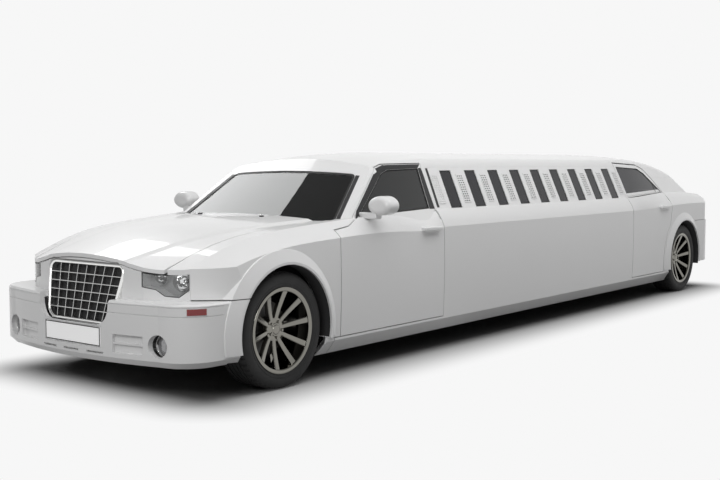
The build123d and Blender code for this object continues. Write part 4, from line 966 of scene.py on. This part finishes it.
    def rim(self) -> None:
        """Barrel, hub, spokes, cap and nuts as one casting."""
        bm = bmesh.new()
        barrel_steps, hub_steps, cap_steps = self.rim_steps
        turn_profile(bm, self.barrel, self.centre, self.axis, barrel_steps, closed=True)
        turn_profile(bm, self.hub, self.centre, self.axis, hub_steps, closed=True)
        turn_profile(bm, self.cap, self.centre, self.axis, cap_steps)
        self.spoke(bm)
        out = self.axis.orthogonal().normalized()
        upright = self.axis.to_track_quat("Z", "Y").to_matrix().to_4x4()
        for index in range(self.nuts):
            turn = Matrix.Rotation(math.tau * index / self.nuts, 3, self.axis)
            place = self.centre + turn @ out * self.nut_circle + self.axis * self.nut_seat
            bmesh.ops.create_cone(
                bm,
                cap_ends=True,
                segments=6,
                radius1=self.nut_radius,
                radius2=self.nut_top,
                depth=self.nut_height,
                matrix=Matrix.Translation(place) @ upright,
            )
        bmesh.ops.recalc_face_normals(bm, faces=bm.faces)
        node = f"rim_{self.name}"
        build_piece(bm, f"{node}_alloy", f"wheel_{self.name}", SMOKED, [node], 28.0)


@dataclass
class ArchLining:
    """Dark lining inside each wheel arch, up to the painted lip."""

    centres: tuple[float, ...] = (3.220, -3.150)
    height: float = 0.362
    radius: float = 0.4070
    inner_y: float = 0.846
    outer_y: float = 0.948
    drop: float = 0.085
    wall: float = 0.0008
    steps: int = 72

    def build(self) -> None:
        """Turn the four linings as one piece."""
        bm = bmesh.new()
        start = -math.asin(self.drop / self.radius)
        for centre_x in self.centres:
            centre = Vector((centre_x, 0.0, self.height))
            out = Vector((math.cos(start), 0.0, math.sin(start))) * self.radius
            places = [centre + out + Vector((0.0, y, 0.0)) for y in (self.inner_y, self.outer_y)]
            bmesh.ops.spin(
                bm,
                geom=profile_edges(bm, places, False),
                cent=centre,
                axis=(0.0, 1.0, 0.0),
                angle=-(math.pi - 2.0 * start),
                steps=self.steps,
            )
        mirror_across(bm)
        bmesh.ops.solidify(bm, geom=bm.faces[:], thickness=self.wall)
        build_piece(bm, "arch_linings", "body", UNDERSEAL)


@dataclass
class Grille:
    """Rounded chrome surround of the grille and the mesh behind its bars."""

    foot: Point = (4.055, 0.0, 0.455)
    lean: float = 12.0
    height: float = 0.322
    top_half: float = 0.345
    low_half: float = 0.285
    low_round: float = 0.080
    top_round: float = 0.034
    corner_steps: int = 10
    mesh_grow: float = 0.020
    mesh_back: float = 0.047
    mesh_wall: float = 0.004
    section: Outline = (
        (0.0005, -0.042), (0.0005, -0.012), (0.0020, -0.005), (0.0060, -0.0012), (0.0115, 0.0000),
        (0.0175, -0.0015), (0.0220, -0.0060), (0.0237, -0.0130), (0.0237, -0.042),
    )

    def ring(self, grow: float, ahead: float) -> list[Point]:
        """Rounded outline of the grille in its leaning plane.

        Args:
            grow: Distance outside the opening.
            ahead: Distance in front of the plane.

        Returns:
            Points of the outline, in order.
        """
        corners = (
            (-self.low_half - grow, -grow, self.low_round + grow),
            (self.low_half + grow, -grow, self.low_round + grow),
            (self.top_half + grow, self.height + grow, self.top_round + grow),
            (-self.top_half - grow, self.height + grow, self.top_round + grow),
        )
        flat: list[tuple[float, float]] = []
        for index, (across, up, radius) in enumerate(corners):
            here = Vector((across, up))
            back = (Vector(corners[index - 1][:2]) - here).normalized()
            ahead_way = (Vector(corners[(index + 1) % 4][:2]) - here).normalized()
            half_angle = back.angle(ahead_way) / 2
            middle = here + (back + ahead_way).normalized() * radius / math.sin(half_angle)
            first = here + back * radius / math.tan(half_angle) - middle
            last = here + ahead_way * radius / math.tan(half_angle) - middle
            sweep = first.angle_signed(last)
            for step in range(self.corner_steps + 1):
                spoke = first.copy()
                spoke.rotate(Matrix.Rotation(-sweep * step / self.corner_steps, 2))
                flat.append((middle.x + spoke.x, middle.y + spoke.y))
        tilt = math.radians(self.lean)
        rise = Vector((-math.sin(tilt), 0.0, math.cos(tilt)))
        out = Vector((math.cos(tilt), 0.0, math.sin(tilt)))
        base = Vector(self.foot) + out * ahead
        return [tuple(base + rise * up + Vector((0.0, across, 0.0))) for across, up in flat]

    def build(self) -> None:
        """Make the surround and the mesh."""
        bm = bmesh.new()
        along_loops(bm, [self.ring(grow, ahead) for grow, ahead in self.section], False)
        bmesh.ops.recalc_face_normals(bm, faces=bm.faces)
        build_piece(bm, "grille_surround", "body", CHROME, ["grille_frame"], 50.0)
        bm = bmesh.new()
        loop = profile_edges(bm, self.ring(self.mesh_grow, -self.mesh_back), True)
        bmesh.ops.contextual_create(bm, geom=edges_of(loop))
        bmesh.ops.solidify(bm, geom=bm.faces[:], thickness=self.mesh_wall)
        build_piece(bm, "radiator_mesh", "body", RADIATOR)


@dataclass
class Lamps:
    """Reflectors, bezels and gaskets of the lamps, and the plate's frame."""

    bowls: tuple[tuple[Point, float], ...] = (
        ((3.870, 0.556, 0.728), 0.047),
        ((3.810, 0.664, 0.697), 0.058),
    )
    bowl_turns: tuple[float, ...] = (0.0, 0.3, 0.6, 0.9, 1.2, 1.45)
    bowl_fit: float = 0.985
    bowl_rim: Outline = ((1.02, 0.003), (1.12, 0.010), (1.20, 0.012), (1.22, 0.006))
    shield: Outline = (
        (0.0, -0.010), (0.009, -0.012), (0.014, -0.018), (0.016, -0.030), (0.012, -0.046),
    )
    fog: Point = (3.9765, 0.684, 0.346)
    fog_radius: float = 0.0655
    fog_ring: Outline = (
        (0.0085, 0.0005), (0.0065, 0.0040), (0.0025, 0.0040), (0.0005, 0.0010), (0.0005, -0.0030),
    )
    plate_x: float = 4.0985
    plate_z: float = 0.369
    plate_half: float = 0.2605
    plate_rise: float = 0.0565
    plate_border: float = 0.006
    plate_frame_wall: float = 0.002
    gasket_width: float = 0.004
    tail_seal_width: float = 0.007
    seal_lift: float = 0.0006
    tail_seal_wall: float = 0.001

    def build(self) -> None:
        """Make the lamp furniture and the plate's frame."""
        self.reflectors()
        self.bezels()
        self.gaskets()
        self.plate_frame()
        self.tail()

    def reflectors(self) -> None:
        """Dished mirrors with a ring and a bulb shield in each headlamp."""
        bm = bmesh.new()
        for place, radius in self.bowls:
            centre = Vector(place)
            dish = [
                (radius * math.sin(turn), -radius * math.cos(turn) * self.bowl_fit)
                for turn in self.bowl_turns
            ]
            dish.extend((radius * share, along) for share, along in self.bowl_rim)
            turn_profile(bm, dish, centre, AHEAD, 48)
            turn_profile(bm, self.shield, centre, AHEAD, 24)
        mirror_across(bm)
        build_piece(bm, "headlamp_reflectors", "body", REFLECTOR, crease=40.0)

    def bezels(self) -> None:
        """Bright rings round the fog lamps."""
        bm = bmesh.new()
        ring = [(self.fog_radius - inset, along) for inset, along in self.fog_ring]
        turn_profile(bm, ring, Vector(self.fog), AHEAD, 48)
        mirror_across(bm)
        build_piece(bm, "fog_lamp_rings", "body", CHROME, crease=40.0)

    def gaskets(self) -> None:
        """Black seal round each headlamp lens."""
        bm = pane_border("headlamp_lenses", AHEAD, self.gasket_width, self.seal_lift, self.seal_lift)
        build_piece(bm, "headlamp_gaskets", "body", RUBBER)

    def plate_frame(self) -> None:
        """Thin black frame round the blank number plate."""
        bm = bmesh.new()
        turn = Matrix.Translation((self.plate_x, 0.0, self.plate_z)) @ Matrix.Rotation(math.pi / 2, 4, "Y")
        size = Matrix.Diagonal((self.plate_rise, self.plate_half, 1.0, 1.0))
        bmesh.ops.create_grid(bm, x_segments=1, y_segments=1, size=1.0, matrix=turn @ size)
        plate = bm.faces[:]
        bmesh.ops.inset_region(
            bm, faces=plate, thickness=self.plate_border, use_boundary=True, use_even_offset=True
        )
        bmesh.ops.delete(bm, geom=plate, context="FACES")
        bmesh.ops.recalc_face_normals(bm, faces=bm.faces)
        bmesh.ops.solidify(bm, geom=bm.faces[:], thickness=self.plate_frame_wall)
        build_piece(bm, "plate_frame", "body", TRIM)

    def tail(self) -> None:
        """Bright seals round the tail lamps."""
        bm = pane_border("red_lamps", -AHEAD, self.tail_seal_width, self.seal_lift, self.tail_seal_wall)
        build_piece(bm, "tail_lamp_seals", "body", CHROME)


@dataclass
class Glazing:
    """Rubbers, frames, posts, rails and reveals of the panes, and the painted shade in the louvres' slots.
    """

    screen_band: float = 0.020
    door_band: float = 0.011
    slit_band: float = 0.007
    rubber_wall: float = 0.0010
    slit_wall: float = 0.0008
    screen_facing: Point = (0.4, 0.0, 0.9)
    rear_facing: Point = (-0.3, 0.0, 0.95)
    post_lift: float = 0.0012
    post_wall: float = 0.0008
    rail_cuts: int = 44
    reveal_lift: float = 0.0008
    reveal_reach: float = 0.020
    reveal_turn: float = 0.45
    shade_turn: float = 0.5
    side_start: float = 1.5
    screen_start: float = 0.4
    front_axle: float = 3.220
    rear_axle: float = -3.150
    door_post: Outline = ((-1.6625, 1.050), (-1.7245, 1.050), (-1.7665, 1.352), (-1.7245, 1.346))
    pillar_strip: Outline = ((-1.7640, 1.057), (-1.7930, 1.057), (-1.8430, 1.346), (-1.8160, 1.346))
    divider: Outline = ((0.508, 1.064), (0.488, 1.064), (0.488, 1.176), (0.508, 1.190))
    waist_rail: Outline = ((1.270, 1.048), (0.352, 1.0760), (0.396, 1.1080), (1.266, 1.0840))
    frame_outer: Outline = ((-0.812, 1.011), (-1.243, 1.347), (-1.345, 1.371), (-1.766, 1.377))
    frame_inner: Outline = ((-0.874, 1.024), (-1.268, 1.308), (-1.352, 1.336), (-1.724, 1.348))
    screen_slope: float = 36.0
    screen_foot: Point = (2.575, 0.0, 0.990)
    screen_post: Outline = ((0.040, 0.7365), (0.040, 0.7700), (0.560, 0.6300), (0.560, 0.5965))

    def build(self) -> None:
        """Make everything that surrounds the panes."""
        wall = self.rubber_wall
        for node, facing in (("windscreen", self.screen_facing), ("rear_window", self.rear_facing)):
            bm = pane_border(node, Vector(facing).normalized(), self.screen_band, wall, wall)
            build_piece(bm, f"{node}_rubber", "body", RUBBER)
        for side in Side:
            hand = side.name.lower()
            out = Vector((0.0, side.value, 0.0))
            for end in End:
                name = f"{end.value}_{hand}"
                bm = pane_border(f"glass_{name}", out, self.door_band, wall, wall)
                build_piece(bm, f"glass_{name}_rubber", f"door_{name}", RUBBER)
            bm = pane_border("slit_windows", out, self.slit_band, self.slit_wall, self.slit_wall)
            build_piece(bm, f"slit_rubbers_{hand}", "body", RUBBER)
            self.posts(side)
            self.door_frame(side)
            for end in End:
                self.reveal(end, side)
        self.screen_bands()
        self.shades()

    def panel(
        self,
        nodes: Sequence[str],
        side: Side,
        axle: float,
        outline: Sequence[tuple[float, float]],
        cuts: int = 6,
    ) -> Mesh:
        """Thin panel lying on the car's side.

        Args:
            nodes: CAD nodes that carry it.
            side: Side of the car.
            axle: Place of the axle that the corners are measured from.
            outline: Four corners, each its distance ahead of the axle and its height.
            cuts: Divisions of each side.

        Returns:
            The panel.
        """
        bm = bmesh.new()
        inward = Vector((0.0, -side.value, 0.0))
        corners = [(axle + ahead, self.side_start * side.value, z) for ahead, z in outline]
        drape(bm, node_tree(*nodes), corners, inward, self.post_lift, cuts)
        thicken(bm, inward, self.post_wall)
        return bm

    def posts(self, side: Side) -> None:
        """Black door posts and pillar strips, the rear door's divider and rail.

        Args:
            side: Side of the car.
        """
        hand = side.name.lower()
        front_door = f"door_front_{hand}"
        rear_door = f"door_rear_{hand}"
        glass = f"glass_rear_{hand}"
        bm = self.panel([front_door], side, self.front_axle, self.door_post)
        build_piece(bm, f"door_post_{hand}", front_door, TRIM)
        bm = self.panel(["side_panels"], side, self.front_axle, self.pillar_strip)
        build_piece(bm, f"pillar_strip_{hand}", "body", TRIM)
        bm = self.panel([glass], side, self.rear_axle, self.divider)
        build_piece(bm, f"quarter_divider_{hand}", rear_door, RUBBER)
        bm = self.panel([glass, rear_door], side, self.rear_axle, self.waist_rail, self.rail_cuts)
        build_piece(bm, f"waist_rail_{hand}", rear_door, PAINT, crease=60.0)

    def door_frame(self, side: Side) -> None:
        """Black frame over the front slope and the top of a front door's glass.

        Args:
            side: Side of the car.
        """
        hand = side.name.lower()
        outer, inner = self.frame_outer, self.frame_inner
        for index in range(len(outer) - 1):
            outline = (outer[index], outer[index + 1], inner[index + 1], inner[index])
            bm = self.panel([f"door_front_{hand}"], side, self.front_axle, outline)
            build_piece(bm, f"door_frame_{hand}_{index}", f"door_front_{hand}", TRIM)

    def reveal(self, end: End, side: Side) -> None:
        """Black lining of the opening round a door's glass.

        Args:
            end: Front or rear door.
            side: Side of the car.
        """
        name = f"{end.value}_{side.name.lower()}"
        low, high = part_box(f"glass_{name}")
        middle = (Vector(low) + Vector(high)) / 2
        reach = self.reveal_reach
        bm = node_mesh(f"door_{name}")
        others = []
        for face in bm.faces:
            centre = face.calc_center_median()
            inside = all(low[axis] - reach < centre[axis] < high[axis] + reach for axis in (0, 2))
            facing = face.normal.dot(middle - centre) > 0.0 and abs(face.normal.y) < self.reveal_turn
            if not (inside and facing):
                others.append(face)
        raise_skin(bm, others, self.reveal_lift)
        build_piece(bm, f"reveal_{name}", f"door_{name}", RUBBER)

    def screen_bands(self) -> None:
        """Black bands on the posts beside the windscreen."""
        slope = math.radians(self.screen_slope)
        rise = Vector((-math.cos(slope), 0.0, math.sin(slope)))
        out = Vector((math.sin(slope), 0.0, math.cos(slope)))
        start = Vector(self.screen_foot) + out * self.screen_start
        corners = [
            tuple(start + rise * along + Vector((0.0, half, 0.0))) for along, half in self.screen_post
        ]
        bm = bmesh.new()
        drape(bm, node_tree("roof_panel"), corners, -out, self.post_lift)
        thicken(bm, -out, self.post_wall)
        mirror_across(bm)
        build_piece(bm, "windscreen_bands", "body", TRIM)

    def shades(self) -> None:
        """Black sheet closing the slots of every louvre panel: painted shade in the slots."""
        bm = node_mesh("louvre_panels")
        outer = []
        for face in bm.faces:
            outward = face.normal.y * face.calc_center_median().y > 0.0
            if outward or abs(face.normal.y) < self.shade_turn:
                outer.append(face)
        bmesh.ops.delete(bm, geom=outer, context="FACES")
        bmesh.ops.holes_fill(bm, edges=[edge for edge in bm.edges if edge.is_boundary], sides=4)
        others = [face for face in bm.faces if len(face.verts) != 4]
        LOG.info("louvre slots shaded: %d", len(bm.faces) - len(others))
        bmesh.ops.delete(bm, geom=others, context="FACES")
        # The slots are closed with black rubber: painted shade in the louvre slots.
        build_piece(bm, "louvre_shades", "body", RUBBER)


@dataclass(frozen=True)
class PadForm:
    """One kind of seat pad: its place from the seat's back edge, size and lean."""

    ahead: float
    height: float
    thickness: float
    length: float
    pitch: float


@dataclass
class Cabin:
    """Padded seats, dashboard, linings and the inside mirror."""

    seat_x: float = 1.660
    seat_y: float = 0.410
    seat_width: float = 0.450
    seat_channels: int = 2
    bench_x: float = -2.450
    bench_width: float = 1.300
    bench_channels: int = 5
    floor_top: float = 0.240
    cushion: PadForm = PadForm(0.265, 0.405, 0.150, 0.470, 85.0)
    backrest: PadForm = PadForm(-0.105, 0.705, 0.125, 0.600, -15.5)
    headrest: PadForm = PadForm(-0.205, 1.068, 0.085, 0.118, -8.0)
    backrest_share: float = 0.98
    headrest_width: float = 0.250
    headrest_spread: float = 0.33
    single_width: float = 1.0
    pad_cuts: int = 15
    pad_corner: float = 0.05
    pad_bulge: float = 0.03
    pad_edge: float = 0.06
    pad_crown: tuple[float, float] = (0.55, 0.5)
    pad_soften: float = 0.4
    seam_depth: float = 0.16
    seam_width: float = 0.022
    tunnel_half: float = 0.180
    plinth_ahead: float = 0.245
    plinth_top: float = 0.340
    plinth_length: float = 0.450
    plinth_share: float = 0.96
    plinth_round: float = 0.03
    dash_profile: Outline = (
        (2.7095, 0.640), (2.7095, 0.885), (2.6200, 0.898), (2.4400, 0.900), (2.3300, 0.892),
        (2.2500, 0.872), (2.2130, 0.835), (2.2120, 0.780), (2.2350, 0.700), (2.3000, 0.640),
    )
    dash_half: float = 0.599
    column: Outline = (
        (0.0, 0.0205), (0.027, 0.0205), (0.028, 0.030), (0.028, 0.120), (0.036, 0.135), (0.040, 0.200),
    )
    column_head: Point = (2.040, 0.400, 0.905)
    column_tilt: float = 24.0
    pod_place: Point = (2.315, 0.400, 0.912)
    pod_size: Point = (0.16, 0.34, 0.075)
    pod_round: float = 0.028
    lining_middle: float = 0.9
    lining_low: float = 0.27
    lining_turn: float = 0.55
    lining_lift: float = 0.0012
    mirror_place: Point = (1.985, 0.0, 1.318)
    mirror_size: Point = (0.032, 0.235, 0.066)
    mirror_lean: float = -8.0
    stem_place: Point = (2.022, 0.0, 1.338)
    stem_size: Point = (0.018, 0.022, 0.075)
    stem_lean: float = 50.0
    mirror_round: float = 0.008

    def build(self) -> None:
        """Make everything that shows through the glass."""
        front = bmesh.new()
        for y in (self.seat_y, -self.seat_y):
            self.seat(front, self.seat_x, y, self.seat_width, self.seat_channels)
        pads = build_piece(front, "front_seat_pads", "body", LEATHER, ["seats"], 60.0)
        rear = bmesh.new()
        self.seat(rear, self.bench_x, 0.0, self.bench_width, self.bench_channels)
        pads = build_piece(rear, "bench_pads", "body", LEATHER, ["seats"], 60.0)
        self.plinths()
        self.dashboard()
        self.linings()
        self.inside_mirror()

    def pad(
        self,
        bm: Mesh,
        form: PadForm,
        edge: tuple[float, float],
        width: float,
        channels: int,
    ) -> None:
        """One crowned pad with sewn channels.

        Args:
            bm: Mesh to add to.
            form: Kind of pad.
            edge: Place of the seat's back edge along the car, and the pad's middle across it.
            width: Width of the pad.
            channels: Sewn lines along the pad.
        """
        part = bmesh.new()
        bmesh.ops.create_cube(part, size=2.0)
        bmesh.ops.subdivide_edges(part, edges=part.edges[:], cuts=self.pad_cuts, use_grid_fill=True)
        crown_v, crown_w = self.pad_crown
        for vert in part.verts:
            u, v, w = vert.co
            squeeze = 1.0 - self.pad_corner * (v * v * w * w) - self.pad_bulge * u * u
            squeeze *= 1.0 - self.pad_edge * u**4
            crown = (1.0 - crown_v * abs(v) ** 5) * (1.0 - crown_w * abs(w) ** 5)
            seam = 0.0
            for line in range(channels):
                place = (line + 1) / (channels + 1) * 2.0 - 1.0
                seam += self.seam_depth * math.exp(-(((v - place) * width / self.seam_width) ** 2))
            vert.co = Vector((u * crown * (1.0 - seam), v * squeeze, w * squeeze))
        bmesh.ops.smooth_vert(
            part,
            verts=part.verts,
            factor=self.pad_soften,
            use_axis_x=True,
            use_axis_y=True,
            use_axis_z=True,
        )
        centre = (edge[0] + form.ahead, edge[1], form.height)
        turn = Matrix.Translation(centre) @ Matrix.Rotation(math.radians(form.pitch), 4, "Y")
        size = Matrix.Diagonal((form.thickness / 2, width / 2, form.length / 2, 1.0))
        bmesh.ops.transform(part, matrix=turn @ size, verts=part.verts)
        mesh = bpy.data.meshes.new("pad")
        part.to_mesh(mesh)
        part.free()
        bm.from_mesh(mesh)
        bpy.data.meshes.remove(mesh)

    def seat(self, bm: Mesh, x: float, y: float, width: float, channels: int) -> None:
        """Cushion, back and headrests of one seat.

        Args:
            bm: Mesh to add to.
            x: Place of the seat's back edge.
            y: Middle of the seat.
            width: Width of the seat.
            channels: Sewn lines on each pad.
        """
        self.pad(bm, self.cushion, (x, y), width, channels)
        self.pad(bm, self.backrest, (x, y), width * self.backrest_share, channels)
        spread = width * self.headrest_spread
        rests = [y] if width < self.single_width else [y - spread, y, y + spread]
        for middle in rests:
            self.pad(bm, self.headrest, (x, middle), self.headrest_width, 0)

    def plinths(self) -> None:
        """Bases under the seats."""
        bm = bmesh.new()
        half = self.bench_width / 2
        rows = (
            (self.seat_x, self.seat_y, self.seat_width),
            (self.bench_x, (half + self.tunnel_half) / 2, half - self.tunnel_half),
        )
        height = self.plinth_top - self.floor_top
        for x, y, width in rows:
            for side in Side:
                place = (x + self.plinth_ahead, y * side.value, (self.floor_top + self.plinth_top) / 2)
                add_block(bm, place, (self.plinth_length, width * self.plinth_share, height))
        edges = [edge for edge in bm.edges if abs((edge.verts[0].co - edge.verts[1].co).z) > height / 2]
        round_edges(bm, edges, self.plinth_round, 3)
        build_piece(bm, "seat_plinths", "body", TRIM)

    def dashboard(self) -> None:
        """Rounded dashboard, hooded dial pod and steering column."""
        bm = bmesh.new()
        places = [(x, -self.dash_half, z) for x, z in self.dash_profile]
        loop = profile_edges(bm, places, True)
        face = bmesh.ops.contextual_create(bm, geom=edges_of(loop))
        made = bmesh.ops.extrude_face_region(bm, geom=face["faces"])
        bmesh.ops.translate(bm, verts=verts_of(made["geom"]), vec=(0.0, 2.0 * self.dash_half, 0.0))
        bmesh.ops.recalc_face_normals(bm, faces=bm.faces)
        tilt = math.radians(self.column_tilt)
        axis = Vector((math.cos(tilt), 0.0, -math.sin(tilt)))
        turn_profile(bm, self.column, Vector(self.column_head), axis, 32)
        corners = add_block(bm, self.pod_place, self.pod_size)
        edges = dict.fromkeys(edge for vert in corners for edge in vert.link_edges)
        round_edges(bm, list(edges), self.pod_round, 4)
        build_piece(bm, "dashboard_form", "body", DASH, ["dashboard"], 40.0)

    def linings(self) -> None:
        """Cloth over the inner faces of the roof, side panels and doors."""
        rows = [("roof_panel", "body", "roof_lining"), ("side_panels", "body", "side_lining")]
        for side in Side:
            for end in End:
                node = f"door_{end.value}_{side.name.lower()}"
                rows.append((node, node, f"{node}_card"))
        for node, body, name in rows:
            bm = node_mesh(node)
            outer = []
            for face in bm.faces:
                middle = face.calc_center_median()
                inward = Vector((0.0, -middle.y, self.lining_middle - middle.z)).normalized()
                if face.normal.dot(inward) < self.lining_turn or middle.z < self.lining_low:
                    outer.append(face)
            raise_skin(bm, outer, self.lining_lift)
            build_piece(bm, name, body, LINING)

    def inside_mirror(self) -> None:
        """Driving mirror on its stem behind the windscreen."""
        bm = bmesh.new()
        add_block(bm, self.mirror_place, self.mirror_size, self.mirror_lean)
        add_block(bm, self.stem_place, self.stem_size, self.stem_lean)
        round_edges(bm, bm.edges[:], self.mirror_round, 4)
        build_piece(bm, "inside_mirror", "body", TRIM, crease=45.0)


@dataclass
class SmallTrim:
    """Mirror glasses and washer jets."""

    mirror_x: float = 2.2285
    mirror_y: float = 0.968
    mirror_z: float = 1.098
    mirror_half: float = 0.090
    mirror_rise: float = 0.058
    mirror_frame: float = 0.004
    mirror_sink: float = 0.0015
    jets: Outline = ((2.760, 0.300), (2.760, -0.300))
    jet_size: Point = (0.030, 0.022, 0.012)
    jet_rise: float = 0.003
    jet_round: float = 0.004
    jet_start: float = 2.0

    def build(self) -> None:
        """Make the small outside pieces."""
        for side in Side:
            self.mirror_glass(side)
        self.washer_jets()

    def mirror_glass(self, side: Side) -> None:
        """Oval glass in a thin frame on the back of a door mirror.

        Args:
            side: Side of the car.
        """
        bm = bmesh.new()
        place = Matrix.Translation((self.mirror_x, self.mirror_y * side.value, self.mirror_z))
        size = Matrix.Diagonal((1.0, self.mirror_half, self.mirror_rise, 1.0))
        turn = Matrix.Rotation(-math.pi / 2, 4, "Y")
        bmesh.ops.create_circle(bm, cap_ends=True, segments=48, radius=1.0, matrix=place @ size @ turn)
        bmesh.ops.inset_region(
            bm,
            faces=bm.faces[:],
            thickness=self.mirror_frame,
            depth=-self.mirror_sink,
            use_boundary=True,
            use_even_offset=True,
        )
        bmesh.ops.recalc_face_normals(bm, faces=bm.faces)
        bmesh.ops.solidify(bm, geom=bm.faces[:], thickness=self.mirror_sink)
        hand = side.name.lower()
        build_piece(bm, f"mirror_glass_{hand}", f"door_front_{hand}", MIRROR, crease=20.0)

    def washer_jets(self) -> None:
        """Two black washer jets on the hood."""
        bm = bmesh.new()
        tree = node_tree("hood")
        for x, y in self.jets:
            place, _, _, _ = tree.ray_cast(Vector((x, y, self.jet_start)), DOWN)
            add_block(bm, (place.x, place.y, place.z + self.jet_rise), self.jet_size)
        round_edges(bm, bm.edges[:], self.jet_round, 3)
        build_piece(bm, "washer_jets", "hood", TRIM)


@dataclass
class Closings:
    """Painted brows over the headlamps and feet of the rear pillars."""

    brow_inner: float = 0.6375
    brow_outer: float = 0.7425
    brow_rear: float = 3.6780
    brow_drop: float = 0.030
    brow_sink: float = 0.0004
    brow_steps: int = 14
    hood_inset: float = 0.009
    fender_inset: float = 0.004
    lens_height: float = 0.700
    lens_half: float = 0.740
    lens_start: float = 5.0
    fall_start: float = 1.6
    fall_limit: float = 0.02
    window_base: tuple[float, float] = (-3.790, 1.075)
    window_slope: float = 24.5
    window_bend: float = 3.2
    window_low_half: float = 0.610
    window_taper: float = 0.145
    tumblehome: float = 27.5
    belt_height: float = 1.040
    belt_start: tuple[float, float] = (-3.320, 0.785)
    belt_run: tuple[float, float] = (0.118, 0.040)
    foot_ends: tuple[float, float] = (-3.300, -3.735)
    foot_low: float = 1.052
    foot_sink: float = 0.0010
    foot_depth: float = 0.010
    foot_edge: float = 0.010
    foot_round: tuple[float, float] = (0.0035, 0.012)
    foot_gap: float = 0.002
    foot_steps: int = 24
    edge_passes: int = 6

    def build(self) -> None:
        """Make both pairs."""
        self.lamp_brows()
        self.pillar_feet()

    def height_line(self, tree: BVHTree, y: float, reach: Sequence[float]) -> list[float]:
        """Heights of a surface along the car, run on straight past its end.

        Args:
            tree: Surface to follow.
            y: Place across the car.
            reach: Places along the car, rising.

        Returns:
            One height for each place.
        """
        heights: list[float] = []
        for x in reach:
            place, _, _, _ = tree.ray_cast(Vector((x, y, self.fall_start)), DOWN)
            if place is None or (heights and heights[-1] - place.z > self.fall_limit):
                heights.append(2.0 * heights[-1] - heights[-2])
            else:
                heights.append(place.z)
        return heights

    def lamp_brows(self) -> None:
        """Skin between the hood's edge and the fender, over each headlamp."""
        hood = node_tree("hood")
        fender = node_tree("front_fenders")
        lens = node_tree("headlamp_lenses")
        bm = bmesh.new()
        rows = []
        for across in range(self.brow_steps + 1):
            share = across / self.brow_steps
            y = self.brow_inner + share * (self.brow_outer - self.brow_inner)
            start = Vector((self.lens_start, min(y, self.lens_half), self.lens_height))
            front, _, _, _ = lens.ray_cast(start, -AHEAD)
            reach = [
                self.brow_rear + step / self.brow_steps * (front.x - self.brow_rear)
                for step in range(self.brow_steps + 1)
            ]
            inner = self.height_line(hood, self.brow_inner - self.hood_inset, reach)
            outer = self.height_line(fender, self.brow_outer + self.fender_inset, reach)
            row = []
            for x, low, high in zip(reach, inner, outer):
                row.append(bm.verts.new((x, y, low + share * (high - low) - self.brow_sink)))
            rows.append(row)
        for first, second in zip(rows, rows[1:]):
            for index in range(self.brow_steps):
                bm.faces.new((first[index], first[index + 1], second[index + 1], second[index]))
        bmesh.ops.recalc_face_normals(bm, faces=bm.faces)
        thicken(bm, DOWN, self.brow_drop)
        mirror_across(bm)
        build_piece(bm, "lamp_brows", "body", PAINT)

    def pillar_side(self, x: float, z: float) -> float:
        """Half width of the rear pillar's outer face.

        Args:
            x: Place along the car.
            z: Height.

        Returns:
            The half width there.
        """
        back = self.belt_start[0] - x
        belt = self.belt_start[1] - self.belt_run[0] * back - self.belt_run[1] * back**2
        return belt - math.tan(math.radians(self.tumblehome)) * (z - self.belt_height) - self.foot_sink

    def window_height(self, x: float, y: float) -> float:
        """Height of the rear window's bent plane.

        Args:
            x: Place along the car.
            y: Place across the car.

        Returns:
            The height there.
        """
        run = x - self.window_base[0] - y**2 / (2.0 * self.window_bend)
        return self.window_base[1] + run * math.tan(math.radians(self.window_slope)) - self.foot_sink

    def pillar_feet(self) -> None:
        """Lower ends of the rear pillars, from the door to the deck."""
        bm = bmesh.new()
        rings = []
        for step in range(self.foot_steps + 1):
            x = self.foot_ends[0] + step / self.foot_steps * (self.foot_ends[1] - self.foot_ends[0])
            inner = self.window_low_half - self.window_taper * (x - self.window_base[0]) + self.foot_gap
            outer = self.pillar_side(x, self.window_height(x, inner))
            for _ in range(self.edge_passes):
                outer = self.pillar_side(x, self.window_height(x, outer))
            top = self.window_height(x, outer)
            across = (inner, (inner + outer) / 2, outer - self.foot_edge)
            down = (*(top - drop for drop in self.foot_round), self.foot_low)
            bottom = self.foot_low - self.foot_depth
            section = [(inner, bottom)]
            section.extend((y, self.window_height(x, y)) for y in across)
            section.extend((self.pillar_side(x, z), z) for z in down)
            rings.append([(x, y, max(z, bottom)) for y, z in section])
        along_loops(bm, rings, True)
        bmesh.ops.recalc_face_normals(bm, faces=bm.faces)
        mirror_across(bm)
        build_piece(bm, "pillar_feet", "body", PAINT)


def main() -> None:
    """Build the studio and dress the car."""
    logging.basicConfig(level=logging.INFO)
    Studio().build()
    Coachwork().build()
    for end in End:
        for side in Side:
            Wheel(end, side).build()
    for assembly in (ArchLining(), Grille(), Lamps(), Glazing(), Closings(), Cabin(), SmallTrim()):
        assembly.build()


if __name__ == "__main__":
    main()
